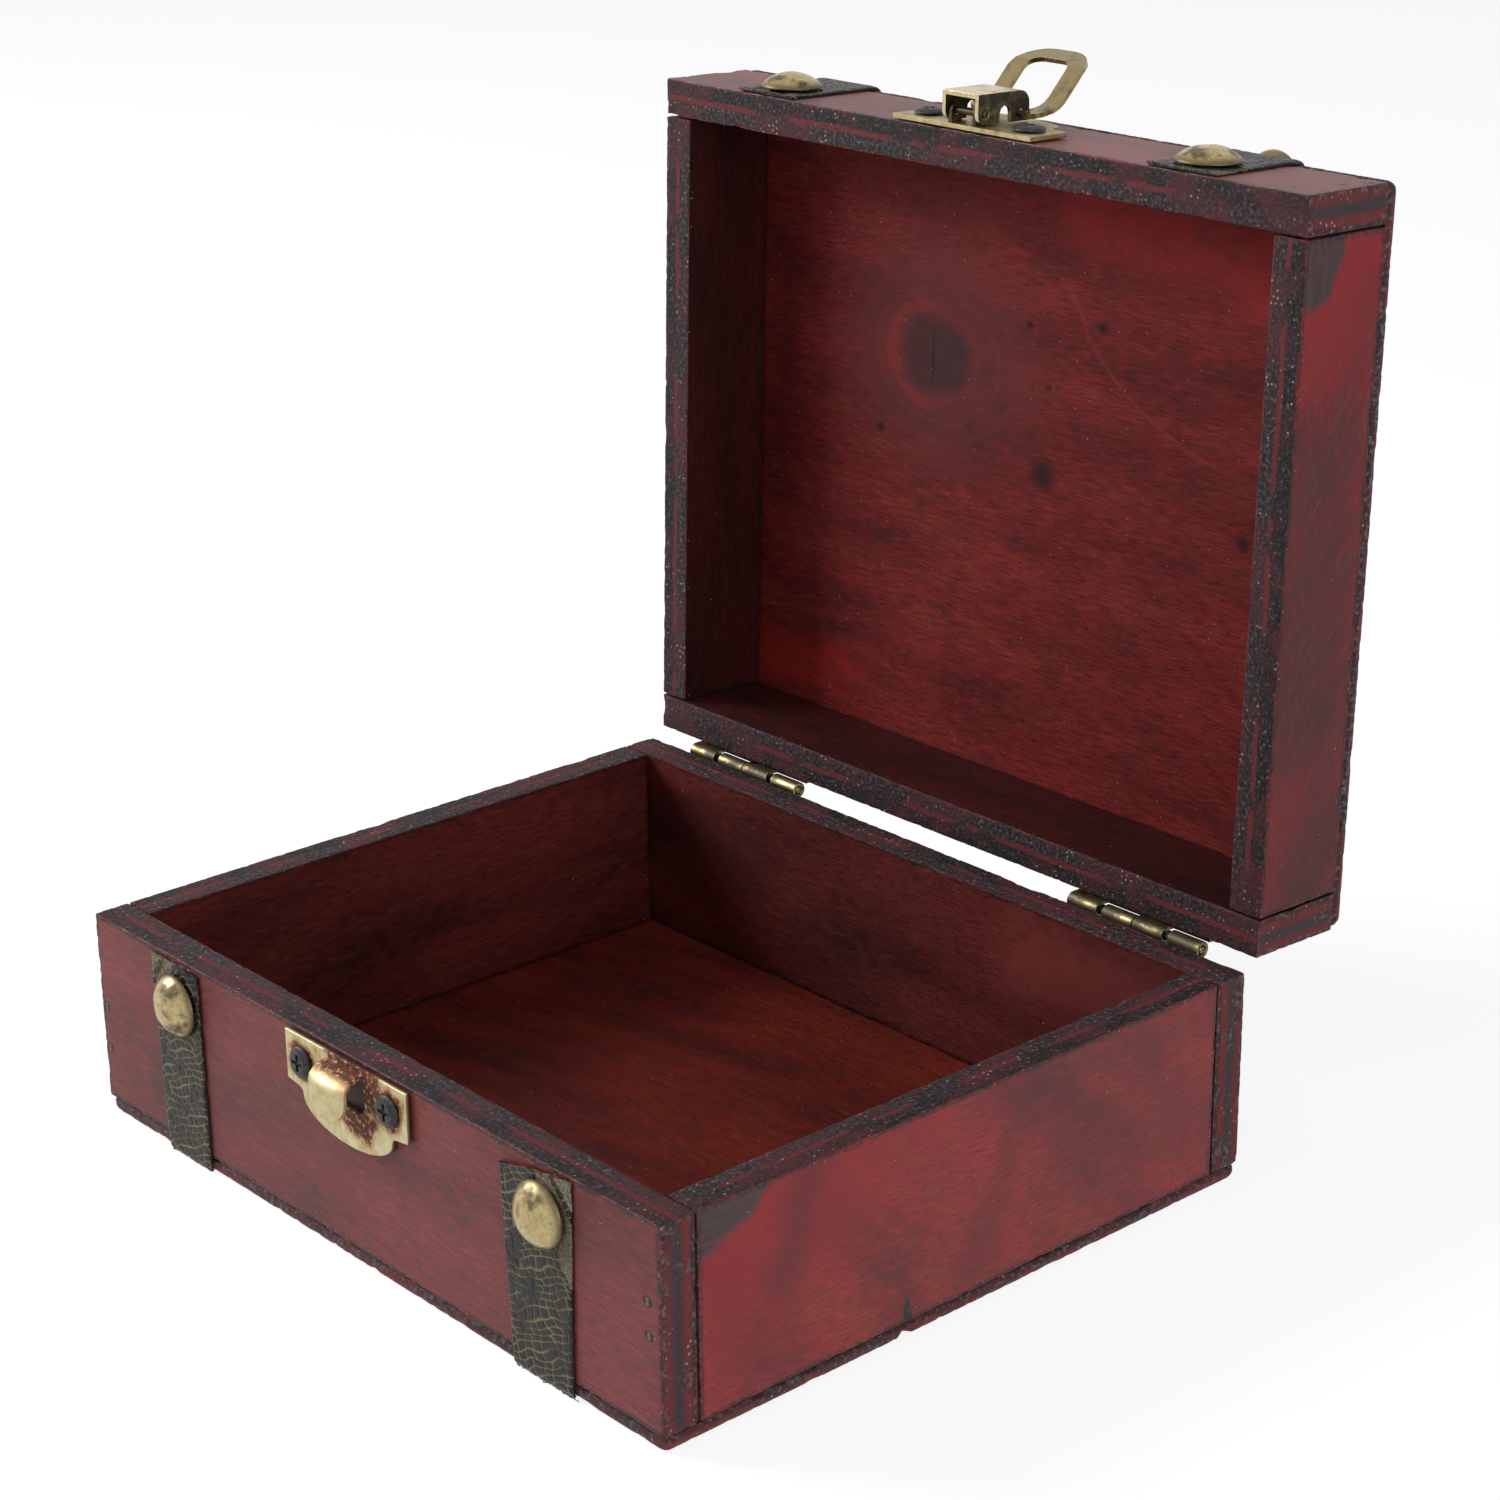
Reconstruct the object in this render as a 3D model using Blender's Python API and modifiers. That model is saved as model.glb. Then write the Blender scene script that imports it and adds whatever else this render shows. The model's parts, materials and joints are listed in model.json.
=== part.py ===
"""Small plywood treasure chest, standing open.

The base is a tray of butt-jointed plywood boards, and the lid is a shallower tray of the same build. Two
leatherette straps with domed nails run over the front of both. A draw latch holds them shut: a folded lever
turns on ears of the latch plate, and the loop in the lever hooks a tongue punched from the catch plate.
Two rolled hinges join the back walls. X is the width, the front faces -Y, and Z is up.
"""
import math

import bmesh
import bpy
from mathutils import Matrix, Vector

MM = 0.001
MERGE = 0.001 * MM

# Box
BOX_WIDTH = 160 * MM
BOX_DEPTH = 133 * MM
BASE_HEIGHT = 40 * MM
LID_HEIGHT = 23.5 * MM
WALL = 7 * MM
BOARD = 2.8 * MM
BOARD_ROUND = 1.8 * MM
ARRIS = 0.4 * MM
RIM_GAP = 0.7 * MM
OPEN_ANGLE = math.radians(92)

# Clearances
GLUE_GAP = 0.3 * MM
SEAT_GAP = 0.3 * MM
TURN_GAP = 0.3 * MM
PIN_GAP = 0.25 * MM
SHANK_GAP = 0.3 * MM

# Straps
STRAP_END_INSET = 28 * MM
STRAP_WIDTH = 15 * MM
STRAP_THICK = 0.8 * MM
STRAP_RIM_INSET = 0.6 * MM
STRAP_FLOOR_GAP = 0.15 * MM
STRAP_BACK_WRAP = math.radians(50)

# Domed nails
NAIL_RADIUS = 5.85 * MM
NAIL_DOME = 3.3 * MM
NAIL_SHEET = 0.6 * MM
NAIL_SHANK_RADIUS = 0.8 * MM
NAIL_SHANK = 6.2 * MM
TACK_SHANK = 3.2 * MM
BASE_NAIL_DROP = 8.7 * MM
LID_NAIL_RISE = 7.4 * MM
TOP_NAIL_INSET = {"left": 9 * MM, "right": 4.6 * MM}
BACK_NAIL_INSET = 9 * MM

# Catch plate and latch plate, cut from one pattern
PLATE_WIDTH = 34.4 * MM
PLATE_SIDE = 9.2 * MM
PLATE_THICK = 0.8 * MM
LOBE_WIDTH = 25.4 * MM
LOBE_DEPTH = 6.6 * MM
LOBE_POWER = 2
SHOULDER_RADIUS = 1.2 * MM
SHOULDER_DROP = 0.5 * MM
CATCH_DROP = 0.8 * MM
LATCH_RISE = 0.5 * MM

# Cross-head screws
SCREW_END_INSET = 4.8 * MM
SCREW_EDGE_INSET = 4.8 * MM
SCREW_HEAD_RADIUS = 3 * MM
SCREW_HEAD = 0.9 * MM
SCREW_SHANK_RADIUS = 1.2 * MM
SCREW_SHANK = 6 * MM
CROSS_LENGTH = 3.2 * MM
CROSS_WIDTH = 0.7 * MM
CROSS_DEPTH = 0.6 * MM

# Crown of a screw head, from its middle to its underside, as shares of the head's radius and height
SCREW_CROWN = ((0, 1), (0.62, 0.88), (0.9, 0.55), (1, 0.2), (1, 0))

# Lever, measured from the lid rim (rise) and the face of the front wall (reach)
LEVER_WIDTH = 9 * MM
LEVER_SHEET = 0.8 * MM
LEVER_LENGTH = 13 * MM
LEVER_HEIGHT = 5.5 * MM
LEVER_TAIL_ROUND = 2.5 * MM
LEVER_TAIL_OPEN = 2.6 * MM
LEVER_PIVOT_INSET = 1.9 * MM
LEVER_RIM_RISE = 0.3 * MM
LEVER_NOTCH_WIDTH = 2.8 * MM
LEVER_NOTCH_HEIGHT = 3.1 * MM
LEVER_NOTCH_RISE = 6.9 * MM
PIVOT_PIN_RADIUS = 0.65 * MM
PIVOT_PIN_PROUD = 0.15 * MM
EAR_SHEET = 0.8 * MM
EAR_RADIUS = 1.35 * MM

# Loop, a flat blank that is folded up past its heel and eased back near its tip
LOOP_SIDE_GAP = 0.7 * MM
LOOP_BAND = 3.6 * MM
LOOP_TIP_BAND = 3.4 * MM
LOOP_SHEET = 0.9 * MM
LOOP_LENGTH = 18.7 * MM
LOOP_TIP_ROUND = 6.5 * MM
LOOP_INNER_ROUND = 3 * MM
LOOP_HEEL = 1.2 * MM
LOOP_HEEL_ROUND = 2.8 * MM
LOOP_LEAN = math.radians(10)
LOOP_PIN_RADIUS = 0.6 * MM
LOOP_PIVOT_RUN = 9.2 * MM
LOOP_PIVOT_DROP = 0.6 * MM

# Folds of the loop's blank: distances from the pivot, and turns upwards in degrees
LOOP_RISE_RUN = 3.8 * MM
LOOP_RISE_STEP = 1.4 * MM
LOOP_RISE_TURNS = (12, 13, 12)
LOOP_EASE_RUN = 12.4 * MM
LOOP_EASE_STEP = 1 * MM
LOOP_EASE_TURNS = (-8, -9, -8)

# Hook tongue punched from the catch plate
HOOK_SIDE_GAP = 0.2 * MM
HOOK_ROOT_DROP = 1.4 * MM
HOOK_THROAT = 3.8 * MM
HOOK_CROWN = 2.3 * MM
HOOK_LENGTH = 9.3 * MM
HOOK_TIP_ROUND = 4 * MM
HOOK_WINDOW_DEPTH = 6.4 * MM
HOOK_WINDOW_GAP = 0.3 * MM
HOOK_WINDOW_ROUND = 2 * MM

# Hinges
HINGE_END_INSET = 27.2 * MM
KNUCKLE_LENGTH = 7 * MM
KNUCKLE_SLOT = 1.5 * MM
KNUCKLE_RADIUS = 1.6 * MM
LEAF_SHEET = 0.7 * MM
LEAF_HEIGHT = 9 * MM
LEAF_ROLL = math.radians(290)
LEAF_SCREW_X = 10 * MM
LEAF_SCREW_INSET = 3.4 * MM
LEAF_HEAD_RADIUS = 1.9 * MM
LEAF_HEAD = 0.7 * MM
LEAF_SHANK_RADIUS = 0.8 * MM
LEAF_SHANK = 5 * MM
LEAF_CROSS_LENGTH = 2.2 * MM
LEAF_CROSS_WIDTH = 0.5 * MM
LEAF_CROSS_DEPTH = 0.4 * MM
AXIS_DROP = 0.1 * MM

# Facets
NAIL_SEGMENTS = 20
SCREW_SEGMENTS = 16
PIN_SEGMENTS = 12
ARC_STEPS = 5
ROLL_STEPS = 14
SMOOTH_BELOW = math.radians(35)

# Places that several pieces share
FRONT = -BOX_DEPTH / 2
BACK = BOX_DEPTH / 2
STRAP_X = BOX_WIDTH / 2 - STRAP_END_INSET
HINGE_X = BOX_WIDTH / 2 - HINGE_END_INSET
LID_RIM = BASE_HEIGHT + RIM_GAP
LID_TOP = LID_RIM + LID_HEIGHT
AXIS_Y = BACK + SEAT_GAP + KNUCKLE_RADIUS
AXIS_Z = BASE_HEIGHT - AXIS_DROP
PLATE_FACE = SEAT_GAP + PLATE_THICK
STRAP_FACE = SEAT_GAP + STRAP_THICK
LEVER_FLOOR = PLATE_FACE + TURN_GAP
PIVOT_REACH = LEVER_FLOOR + LEVER_PIVOT_INSET
PIVOT_RISE = LEVER_RIM_RISE + LEVER_PIVOT_INSET
LOOP_OPENING = LEVER_WIDTH + 2 * LOOP_SIDE_GAP
HOOK_WIDTH = LOOP_OPENING - 2 * HOOK_SIDE_GAP
HINGE_LENGTH = 4 * KNUCKLE_LENGTH + 2 * KNUCKLE_SLOT + TURN_GAP
SIDES = {"left": -1, "right": 1}

FACING_FRONT = (math.pi / 2, 0, 0)
FACING_BACK = (-math.pi / 2, 0, 0)
FACING_UP = (0, 0, 0)
ALONG_X = (math.pi / 2, 0, math.pi / 2)


def clear_scene():
    for old in list(bpy.data.objects):
        bpy.data.objects.remove(old)


def new_collection(name):
    group = bpy.data.collections.new(name)
    bpy.context.scene.collection.children.link(group)
    return group


def material(name, colour, roughness, metallic=0.0):
    mat = bpy.data.materials.new(name)
    mat.use_nodes = True
    shader = mat.node_tree.nodes["Principled BSDF"]
    shader.inputs["Base Color"].default_value = (*colour, 1)
    shader.inputs["Roughness"].default_value = roughness
    shader.inputs["Metallic"].default_value = metallic
    return mat


clear_scene()
PARTS = new_collection("treasure_chest")
CUTTERS = new_collection("cutters")
WOOD = material("red_stained_plywood", (0.15, 0.035, 0.035), 0.6)
LEATHERETTE = material("crackled_leatherette", (0.045, 0.047, 0.042), 0.55)
BRIGHT_BRASS = material("bright_brass", (0.62, 0.50, 0.25), 0.3, 1.0)
AGED_BRASS = material("aged_brass", (0.35, 0.26, 0.12), 0.4, 1.0)
BLACK_STEEL = material("black_steel", (0.04, 0.04, 0.042), 0.4, 1.0)


# Shapes

def mesh_from(work, name):
    mesh = bpy.data.meshes.new(name)
    work.to_mesh(mesh)
    work.free()
    return mesh


def box_mesh(name, size):
    work = bmesh.new()
    bmesh.ops.create_cube(work, size=1)
    bmesh.ops.scale(work, vec=size, verts=work.verts)
    return mesh_from(work, name)


def rod_mesh(name, radius, length, segments):
    """A cylinder along Z, centred on its origin."""
    work = bmesh.new()
    bmesh.ops.create_cone(
        work, cap_ends=True, segments=segments, radius1=radius, radius2=radius, depth=length
    )
    return mesh_from(work, name)


def outline_mesh(name, outline, thickness, holes=()):
    """A flat outline in XY, extruded evenly to both sides along Z."""
    curve = bpy.data.curves.new(name, "CURVE")
    curve.dimensions = "2D"
    curve.fill_mode = "BOTH"
    curve.extrude = thickness / 2
    for points in (outline, *holes):
        spline = curve.splines.new("POLY")
        spline.points.add(len(points) - 1)
        for spot, (across, along) in zip(spline.points, points):
            spot.co = (across, along, 0, 1)
        spline.use_cyclic_u = True
    guide = bpy.data.objects.new(name, curve)
    CUTTERS.objects.link(guide)
    graph = bpy.context.evaluated_depsgraph_get()
    mesh = bpy.data.meshes.new_from_object(guide.evaluated_get(graph))
    bpy.data.objects.remove(guide)
    bpy.data.curves.remove(curve)
    work = bmesh.new()
    work.from_mesh(mesh)
    bmesh.ops.remove_doubles(work, verts=work.verts, dist=MERGE)
    bmesh.ops.recalc_face_normals(work, faces=work.faces)
    work.to_mesh(mesh)
    work.free()
    return mesh


def arc(centre, radius, start, end, steps=ARC_STEPS):
    """Points on an arc, with the angles in degrees."""
    points = []
    for step in range(steps + 1):
        angle = math.radians(start + (end - start) * step / steps)
        points.append((centre[0] + radius * math.cos(angle), centre[1] + radius * math.sin(angle)))
    return points


def ribbon(path, thickness):
    """The closed outline of a strip of even thickness along an open path."""
    left, right = [], []
    for index, (across, along) in enumerate(path):
        before = path[max(index - 1, 0)]
        after = path[min(index + 1, len(path) - 1)]
        run = (after[0] - before[0], after[1] - before[1])
        scale = thickness / 2 / math.hypot(*run)
        left.append((across - run[1] * scale, along + run[0] * scale))
        right.append((across + run[1] * scale, along - run[0] * scale))
    return left + right[::-1]


# Objects

def add(name, mesh, mat, parent=None, location=(0, 0, 0), rotation=(0, 0, 0)):
    piece = bpy.data.objects.new(name, mesh)
    PARTS.objects.link(piece)
    mesh.materials.clear()
    mesh.materials.append(mat)
    piece.parent = parent
    piece.location = location
    piece.rotation_euler = rotation
    return piece


def add_cutter(name, mesh, parent=None, location=(0, 0, 0), rotation=(0, 0, 0)):
    tool = bpy.data.objects.new(name, mesh)
    CUTTERS.objects.link(tool)
    tool.parent = parent
    tool.location = location
    tool.rotation_euler = rotation
    tool.hide_render = True
    tool.display_type = "WIRE"
    return tool


def add_empty(name, parent, location, rotation=(0, 0, 0)):
    empty = bpy.data.objects.new(name, None)
    PARTS.objects.link(empty)
    empty.parent = parent
    empty.location = location
    empty.rotation_euler = rotation
    return empty


def combine(piece, tool, operation="DIFFERENCE"):
    step = piece.modifiers.new(tool.name, "BOOLEAN")
    step.operation = operation
    step.solver = "EXACT"
    step.object = tool


def shade_round(piece):
    piece.data.shade_smooth()
    piece.data.set_sharp_from_angle(angle=SMOOTH_BELOW)


def turn(piece, segments):
    """Revolve a profile drawn at +X about the piece's own Z axis."""
    screw = piece.modifiers.new("Revolve", "SCREW")
    screw.axis = "Z"
    screw.steps = segments
    screw.render_steps = segments
    screw.use_merge_vertices = True
    screw.merge_threshold = MERGE
    screw.use_smooth_shade = True


def profile_mesh(name, points):
    work = bmesh.new()
    verts = [work.verts.new((radius, 0, height)) for radius, height in points]
    for upper, lower in zip(verts, verts[1:]):
        work.edges.new((upper, lower))
    return mesh_from(work, name)


def round_edges(piece, width, segments):
    bevel = piece.modifiers.new("Eased edges", "BEVEL")
    bevel.width = width
    bevel.segments = segments
    bevel.limit_method = "ANGLE"


# Boards

def wall(name, size, parent, location):
    piece = add(name, box_mesh(name, size), WOOD, parent, location)
    round_edges(piece, ARRIS, segments=1)
    return piece


def panel(name, outer_side, parent, location):
    """A full-size board whose outer edges and corners are rounded over; outer_side is -1 below, 1 above."""
    work = bmesh.new()
    bmesh.ops.create_cube(work, size=1)
    bmesh.ops.scale(work, vec=(BOX_WIDTH, BOX_DEPTH, BOARD), verts=work.verts)
    outer = [edge for edge in work.edges if any(vert.co.z * outer_side > 0 for vert in edge.verts)]
    bmesh.ops.bevel(work, geom=outer, offset=BOARD_ROUND, segments=3, profile=0.5, affect="EDGES")
    return add(name, mesh_from(work, name), WOOD, parent, location)


def tray(prefix, parent, floor, rim, origin):
    """Four walls between two heights: the front and back run through, the sides stand between them."""
    height = abs(rim - floor)
    middle = (rim + floor) / 2
    long_size = (BOX_WIDTH, WALL, height)
    short_size = (WALL, BOX_DEPTH - 2 * WALL - 2 * GLUE_GAP, height)
    places = {
        "front": (long_size, 0, FRONT + WALL / 2),
        "back": (long_size, 0, BACK - WALL / 2),
        "left": (short_size, -(BOX_WIDTH - WALL) / 2, 0),
        "right": (short_size, (BOX_WIDTH - WALL) / 2, 0),
    }
    walls = {}
    for side, (size, x, y) in places.items():
        spot = (x - origin[0], y - origin[1], middle - origin[2])
        walls[side] = wall(f"{prefix}_{side}_wall", size, parent, spot)
    return walls


# Fasteners

def drive(name, profile, segments, mat, parent, location, rotation, shank, pieces):
    """Add a turned fastener and bore its clearance hole through the pieces that it holds."""
    fastener = add(name, profile_mesh(name, profile), mat, parent, location, rotation)
    turn(fastener, segments)
    radius, length = shank
    hole = rod_mesh(f"{name}_hole", radius + SHANK_GAP, 2 * (length + SHANK_GAP), PIN_SEGMENTS)
    bore = add_cutter(f"{name}_hole", hole, parent, location, rotation)
    for piece in pieces:
        combine(piece, bore)
    return fastener


def nail(name, parent, location, rotation, length, pieces):
    """A stamped dome on a pointed shank; its origin is at the dome's rim."""
    sphere = (NAIL_RADIUS ** 2 + NAIL_DOME ** 2) / (2 * NAIL_DOME)
    centre = NAIL_DOME - sphere
    hollow = sphere - NAIL_SHEET
    outer_end = math.asin(NAIL_RADIUS / sphere)
    inner_end = math.acos(-centre / hollow)
    inner_start = math.asin(NAIL_SHANK_RADIUS / hollow)
    points = []
    for step in range(ARC_STEPS + 1):
        angle = outer_end * step / ARC_STEPS
        points.append((sphere * math.sin(angle), centre + sphere * math.cos(angle)))
    for step in range(ARC_STEPS - 1):
        angle = inner_end + (inner_start - inner_end) * step / (ARC_STEPS - 2)
        points.append((hollow * math.sin(angle), centre + hollow * math.cos(angle)))
    points.append((NAIL_SHANK_RADIUS, -length + NAIL_SHANK_RADIUS))
    points.append((0, -length))
    shank = (NAIL_SHANK_RADIUS, length)
    return drive(name, points, NAIL_SEGMENTS, AGED_BRASS, parent, location, rotation, shank, pieces)


def screw(name, head, shank, cross, parent, location, rotation, pieces):
    """A low cross-head screw; its origin is at the underside of the head."""
    head_radius, head_height = head
    radius, length = shank
    points = [(head_radius * across, head_height * up) for across, up in SCREW_CROWN]
    points += [(radius, 0), (radius, -length + radius), (0, -length)]
    fastener = drive(name, points, SCREW_SEGMENTS, BLACK_STEEL, parent, location, rotation, shank, pieces)
    length, width, depth = cross
    slot = box_mesh(f"{name}_slot", (length, width, 2 * depth))
    for quarter in range(2):
        recess = add_cutter(
            f"{name}_slot_{quarter}", slot, fastener, (0, 0, head_height), (0, 0, quarter * math.pi / 2)
        )
        combine(fastener, recess)
    return fastener


# Straps

def strap(name, path, x, parent):
    mesh = outline_mesh(name, ribbon(path, STRAP_THICK), STRAP_WIDTH)
    return add(name, mesh, LEATHERETTE, parent, (x, 0, 0), ALONG_X)


def base_strap_path():
    """Down the front from just under the rim, then part way round the bottom board's rounded edge."""
    middle = SEAT_GAP + STRAP_THICK / 2
    bend = BOARD_ROUND + middle
    wrap = math.asin((BOARD_ROUND - STRAP_FLOOR_GAP) / (BOARD_ROUND + STRAP_FACE))
    path = [(FRONT - middle, BASE_HEIGHT - STRAP_RIM_INSET)]
    return path + arc((FRONT + BOARD_ROUND, BOARD_ROUND), bend, 180, 180 + math.degrees(wrap))


def lid_strap_path():
    """Up the front of the lid, over the top and part way round its back edge, measured from the axis."""
    middle = SEAT_GAP + STRAP_THICK / 2
    bend = BOARD_ROUND + middle
    height = LID_TOP - BOARD_ROUND - AXIS_Z
    path = [(FRONT - middle - AXIS_Y, LID_RIM + STRAP_RIM_INSET - AXIS_Z)]
    path += arc((FRONT + BOARD_ROUND - AXIS_Y, height), bend, 180, 90)
    path += arc((BACK - BOARD_ROUND - AXIS_Y, height), bend, 90, 90 - math.degrees(STRAP_BACK_WRAP))
    return path


# Latch

def plate_outline(direction):
    """A straight edge on the X axis, square ends and a broad lobe; direction is -1 down, 1 up."""
    half = LOBE_WIDTH / 2
    base = PLATE_SIDE + SHOULDER_DROP + SHOULDER_RADIUS
    depth = LOBE_DEPTH - SHOULDER_DROP - SHOULDER_RADIUS
    right = [(PLATE_WIDTH / 2, 0), (PLATE_WIDTH / 2, PLATE_SIDE)]
    right += arc((half + SHOULDER_RADIUS, base), SHOULDER_RADIUS, 270, 180, steps=3)
    lobe_steps = 2 * ARC_STEPS
    for step in range(1, lobe_steps):
        angle = math.pi / 2 * step / lobe_steps
        across = half * math.cos(angle) ** (2 / LOBE_POWER)
        along = base + depth * math.sin(angle) ** (2 / LOBE_POWER)
        right.append((across, along))
    left = [(-across, along) for across, along in reversed(right)]
    return [(across, direction * along) for across, along in [*right, (0, base + depth), *left]]


def plate_screws(prefix, parent, edge, plate, front_wall, origin, direction):
    for side, sign in SIDES.items():
        spot = (
            sign * (PLATE_WIDTH / 2 - SCREW_END_INSET),
            FRONT - PLATE_FACE - SEAT_GAP - origin[1],
            edge + direction * SCREW_EDGE_INSET - origin[2],
        )
        screw(
            f"{prefix}_screw_{side}",
            (SCREW_HEAD_RADIUS, SCREW_HEAD),
            (SCREW_SHANK_RADIUS, SCREW_SHANK),
            (CROSS_LENGTH, CROSS_WIDTH, CROSS_DEPTH),
            parent, spot, FACING_FRONT, (plate, front_wall),
        )


def round_bottomed(width, top, bottom, radius):
    """A slot outline from top down to bottom, with its two lower corners rounded."""
    half = width / 2
    corners = arc((half - radius, bottom + radius), radius, 360, 270)
    corners += arc((-half + radius, bottom + radius), radius, 270, 180)
    return [(-half, top), (half, top), *corners]


def catch_plate(front_wall):
    """The plate, the window that its tongue leaves, and the tongue curled out and down as a hook."""
    edge = BASE_HEIGHT - CATCH_DROP
    place = (0, FRONT - SEAT_GAP - PLATE_THICK / 2, edge)
    root = -HOOK_ROOT_DROP
    window_top = root - PLATE_THICK
    window = round_bottomed(
        HOOK_WIDTH + 2 * HOOK_WINDOW_GAP, window_top, window_top - HOOK_WINDOW_DEPTH, HOOK_WINDOW_ROUND
    )
    mesh = outline_mesh("catch_plate", plate_outline(-1), PLATE_THICK)
    plate = add("catch_plate", mesh, BRIGHT_BRASS, None, place, FACING_FRONT)
    opening = outline_mesh("catch_window", window, 2 * PLATE_THICK)
    combine(plate, add_cutter("catch_window", opening, None, place, FACING_FRONT))

    reach = HOOK_THROAT + PLATE_THICK
    quarter = arc((0, 0), 1, 90, 0)
    path = [(-reach * across, root - HOOK_CROWN * (1 - along)) for across, along in quarter]
    path.append((-reach, -HOOK_LENGTH))
    side = outline_mesh("catch_hook", ribbon(path, PLATE_THICK), 2 * HOOK_WIDTH)
    hook = add_cutter("catch_hook", side, None, place, ALONG_X)
    front = round_bottomed(HOOK_WIDTH, PLATE_THICK, -HOOK_LENGTH, HOOK_TIP_ROUND)
    trim = add_cutter(
        "catch_hook_trim", outline_mesh("catch_hook_trim", front, 4 * reach), None, place, FACING_FRONT
    )
    combine(hook, trim, "INTERSECT")
    combine(plate, hook, "UNION")
    plate_screws("catch", None, edge, plate, front_wall, (0, 0, 0), -1)
    return plate


def latch_plate(lid, front_wall):
    """The plate and the two ears that carry the lever's pin."""
    edge = LID_RIM + LATCH_RISE
    place = (0, FRONT - SEAT_GAP - PLATE_THICK / 2 - AXIS_Y, edge - AXIS_Z)
    plate = add(
        "latch_plate", outline_mesh("latch_plate", plate_outline(1), PLATE_THICK),
        BRIGHT_BRASS, lid, place, FACING_FRONT,
    )
    inside = LEVER_WIDTH / 2 - LEVER_SHEET - TURN_GAP - EAR_SHEET / 2
    sunk = PIVOT_REACH - SEAT_GAP - PLATE_THICK / 2
    ear = [(sunk, -EAR_RADIUS), *arc((0, 0), EAR_RADIUS, 270, 90), (sunk, EAR_RADIUS)]
    eye = arc((0, 0), PIVOT_PIN_RADIUS + PIN_GAP, 0, 330, steps=PIN_SEGMENTS - 1)
    pivot = (0, FRONT - PIVOT_REACH - AXIS_Y, LID_RIM + PIVOT_RISE - AXIS_Z)
    for side, sign in SIDES.items():
        mesh = outline_mesh(f"latch_ear_{side}", ear[::-1], EAR_SHEET, [eye])
        tab = add_cutter(f"latch_ear_{side}", mesh, lid, (sign * inside, pivot[1], pivot[2]), ALONG_X)
        combine(plate, tab, "UNION")
    pin = rod_mesh(
        "latch_pivot_pin", PIVOT_PIN_RADIUS, LEVER_WIDTH + 2 * PIVOT_PIN_PROUD, PIN_SEGMENTS
    )
    shade_round(add("latch_pivot_pin", pin, AGED_BRASS, lid, pivot, ALONG_X))
    plate_screws("latch", lid, edge, plate, front_wall, (0, AXIS_Y, AXIS_Z), 1)
    return pivot


def lever_crown(inset):
    """The top's end and the rounded tail of the lever, as (depth, rise) from its pivot."""
    crest = LEVER_PIVOT_INSET + inset - LEVER_HEIGHT
    tail = LEVER_LENGTH - LEVER_PIVOT_INSET - inset
    bend = LEVER_TAIL_ROUND - inset
    return arc((crest + bend, tail - bend), bend, 180, 90)


def lever_skin():
    """Side outline of the folded sheet; its heel is round so that it clears the plate as it turns."""
    crown = lever_crown(0)
    heel = arc((0, 0), LEVER_PIVOT_INSET, 360, 270)
    return [(crown[0][0], -LEVER_PIVOT_INSET), *crown, (LEVER_PIVOT_INSET, crown[-1][1]), *heel]


def lever_hollow():
    """Side outline of the space in the fold, which runs out at the rim, the plate and the lower tail."""
    crown = lever_crown(LEVER_SHEET)
    sill = LEVER_PIVOT_INSET - LEVER_TAIL_OPEN
    far = LEVER_LENGTH
    return [(crown[0][0], -far), *crown, (sill, crown[-1][1]), (sill, far), (far, far), (far, -far)]


def latch_lever(lid, pivot):
    """A sheet folded to a channel that is open to the rim, the plate and the lower tail."""
    hinge = add_empty("lever_axis", lid, pivot)
    skin = outline_mesh("latch_lever", lever_skin(), LEVER_WIDTH)
    lever = add("latch_lever", skin, AGED_BRASS, hinge, (0, 0, 0), ALONG_X)
    channel = outline_mesh("lever_channel", lever_hollow(), LEVER_WIDTH - 2 * LEVER_SHEET)
    combine(lever, add_cutter("lever_channel", channel, hinge, (0, 0, 0), ALONG_X))

    half = LEVER_NOTCH_WIDTH / 2
    rise = LEVER_NOTCH_RISE - LEVER_PIVOT_INSET
    crest = LEVER_PIVOT_INSET - LEVER_NOTCH_HEIGHT
    crown = arc((crest + half, rise), half, 90, 270)
    arch = [(LEVER_HEIGHT, rise + half), *crown, (LEVER_HEIGHT, rise - half)]
    notch = outline_mesh("lever_notch", arch, 2 * LEVER_WIDTH)
    combine(lever, add_cutter("lever_notch", notch, hinge, (0, 0, 0), ALONG_X))

    eyes = {
        "lever_eye": (PIVOT_PIN_RADIUS, (0, 0, 0)),
        "loop_eye": (LOOP_PIN_RADIUS, (0, LOOP_PIVOT_DROP, LOOP_PIVOT_RUN)),
    }
    for name, (radius, spot) in eyes.items():
        hole = rod_mesh(name, radius + PIN_GAP, 2 * LEVER_WIDTH, PIN_SEGMENTS)
        combine(lever, add_cutter(name, hole, hinge, spot, ALONG_X))
    return hinge


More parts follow.
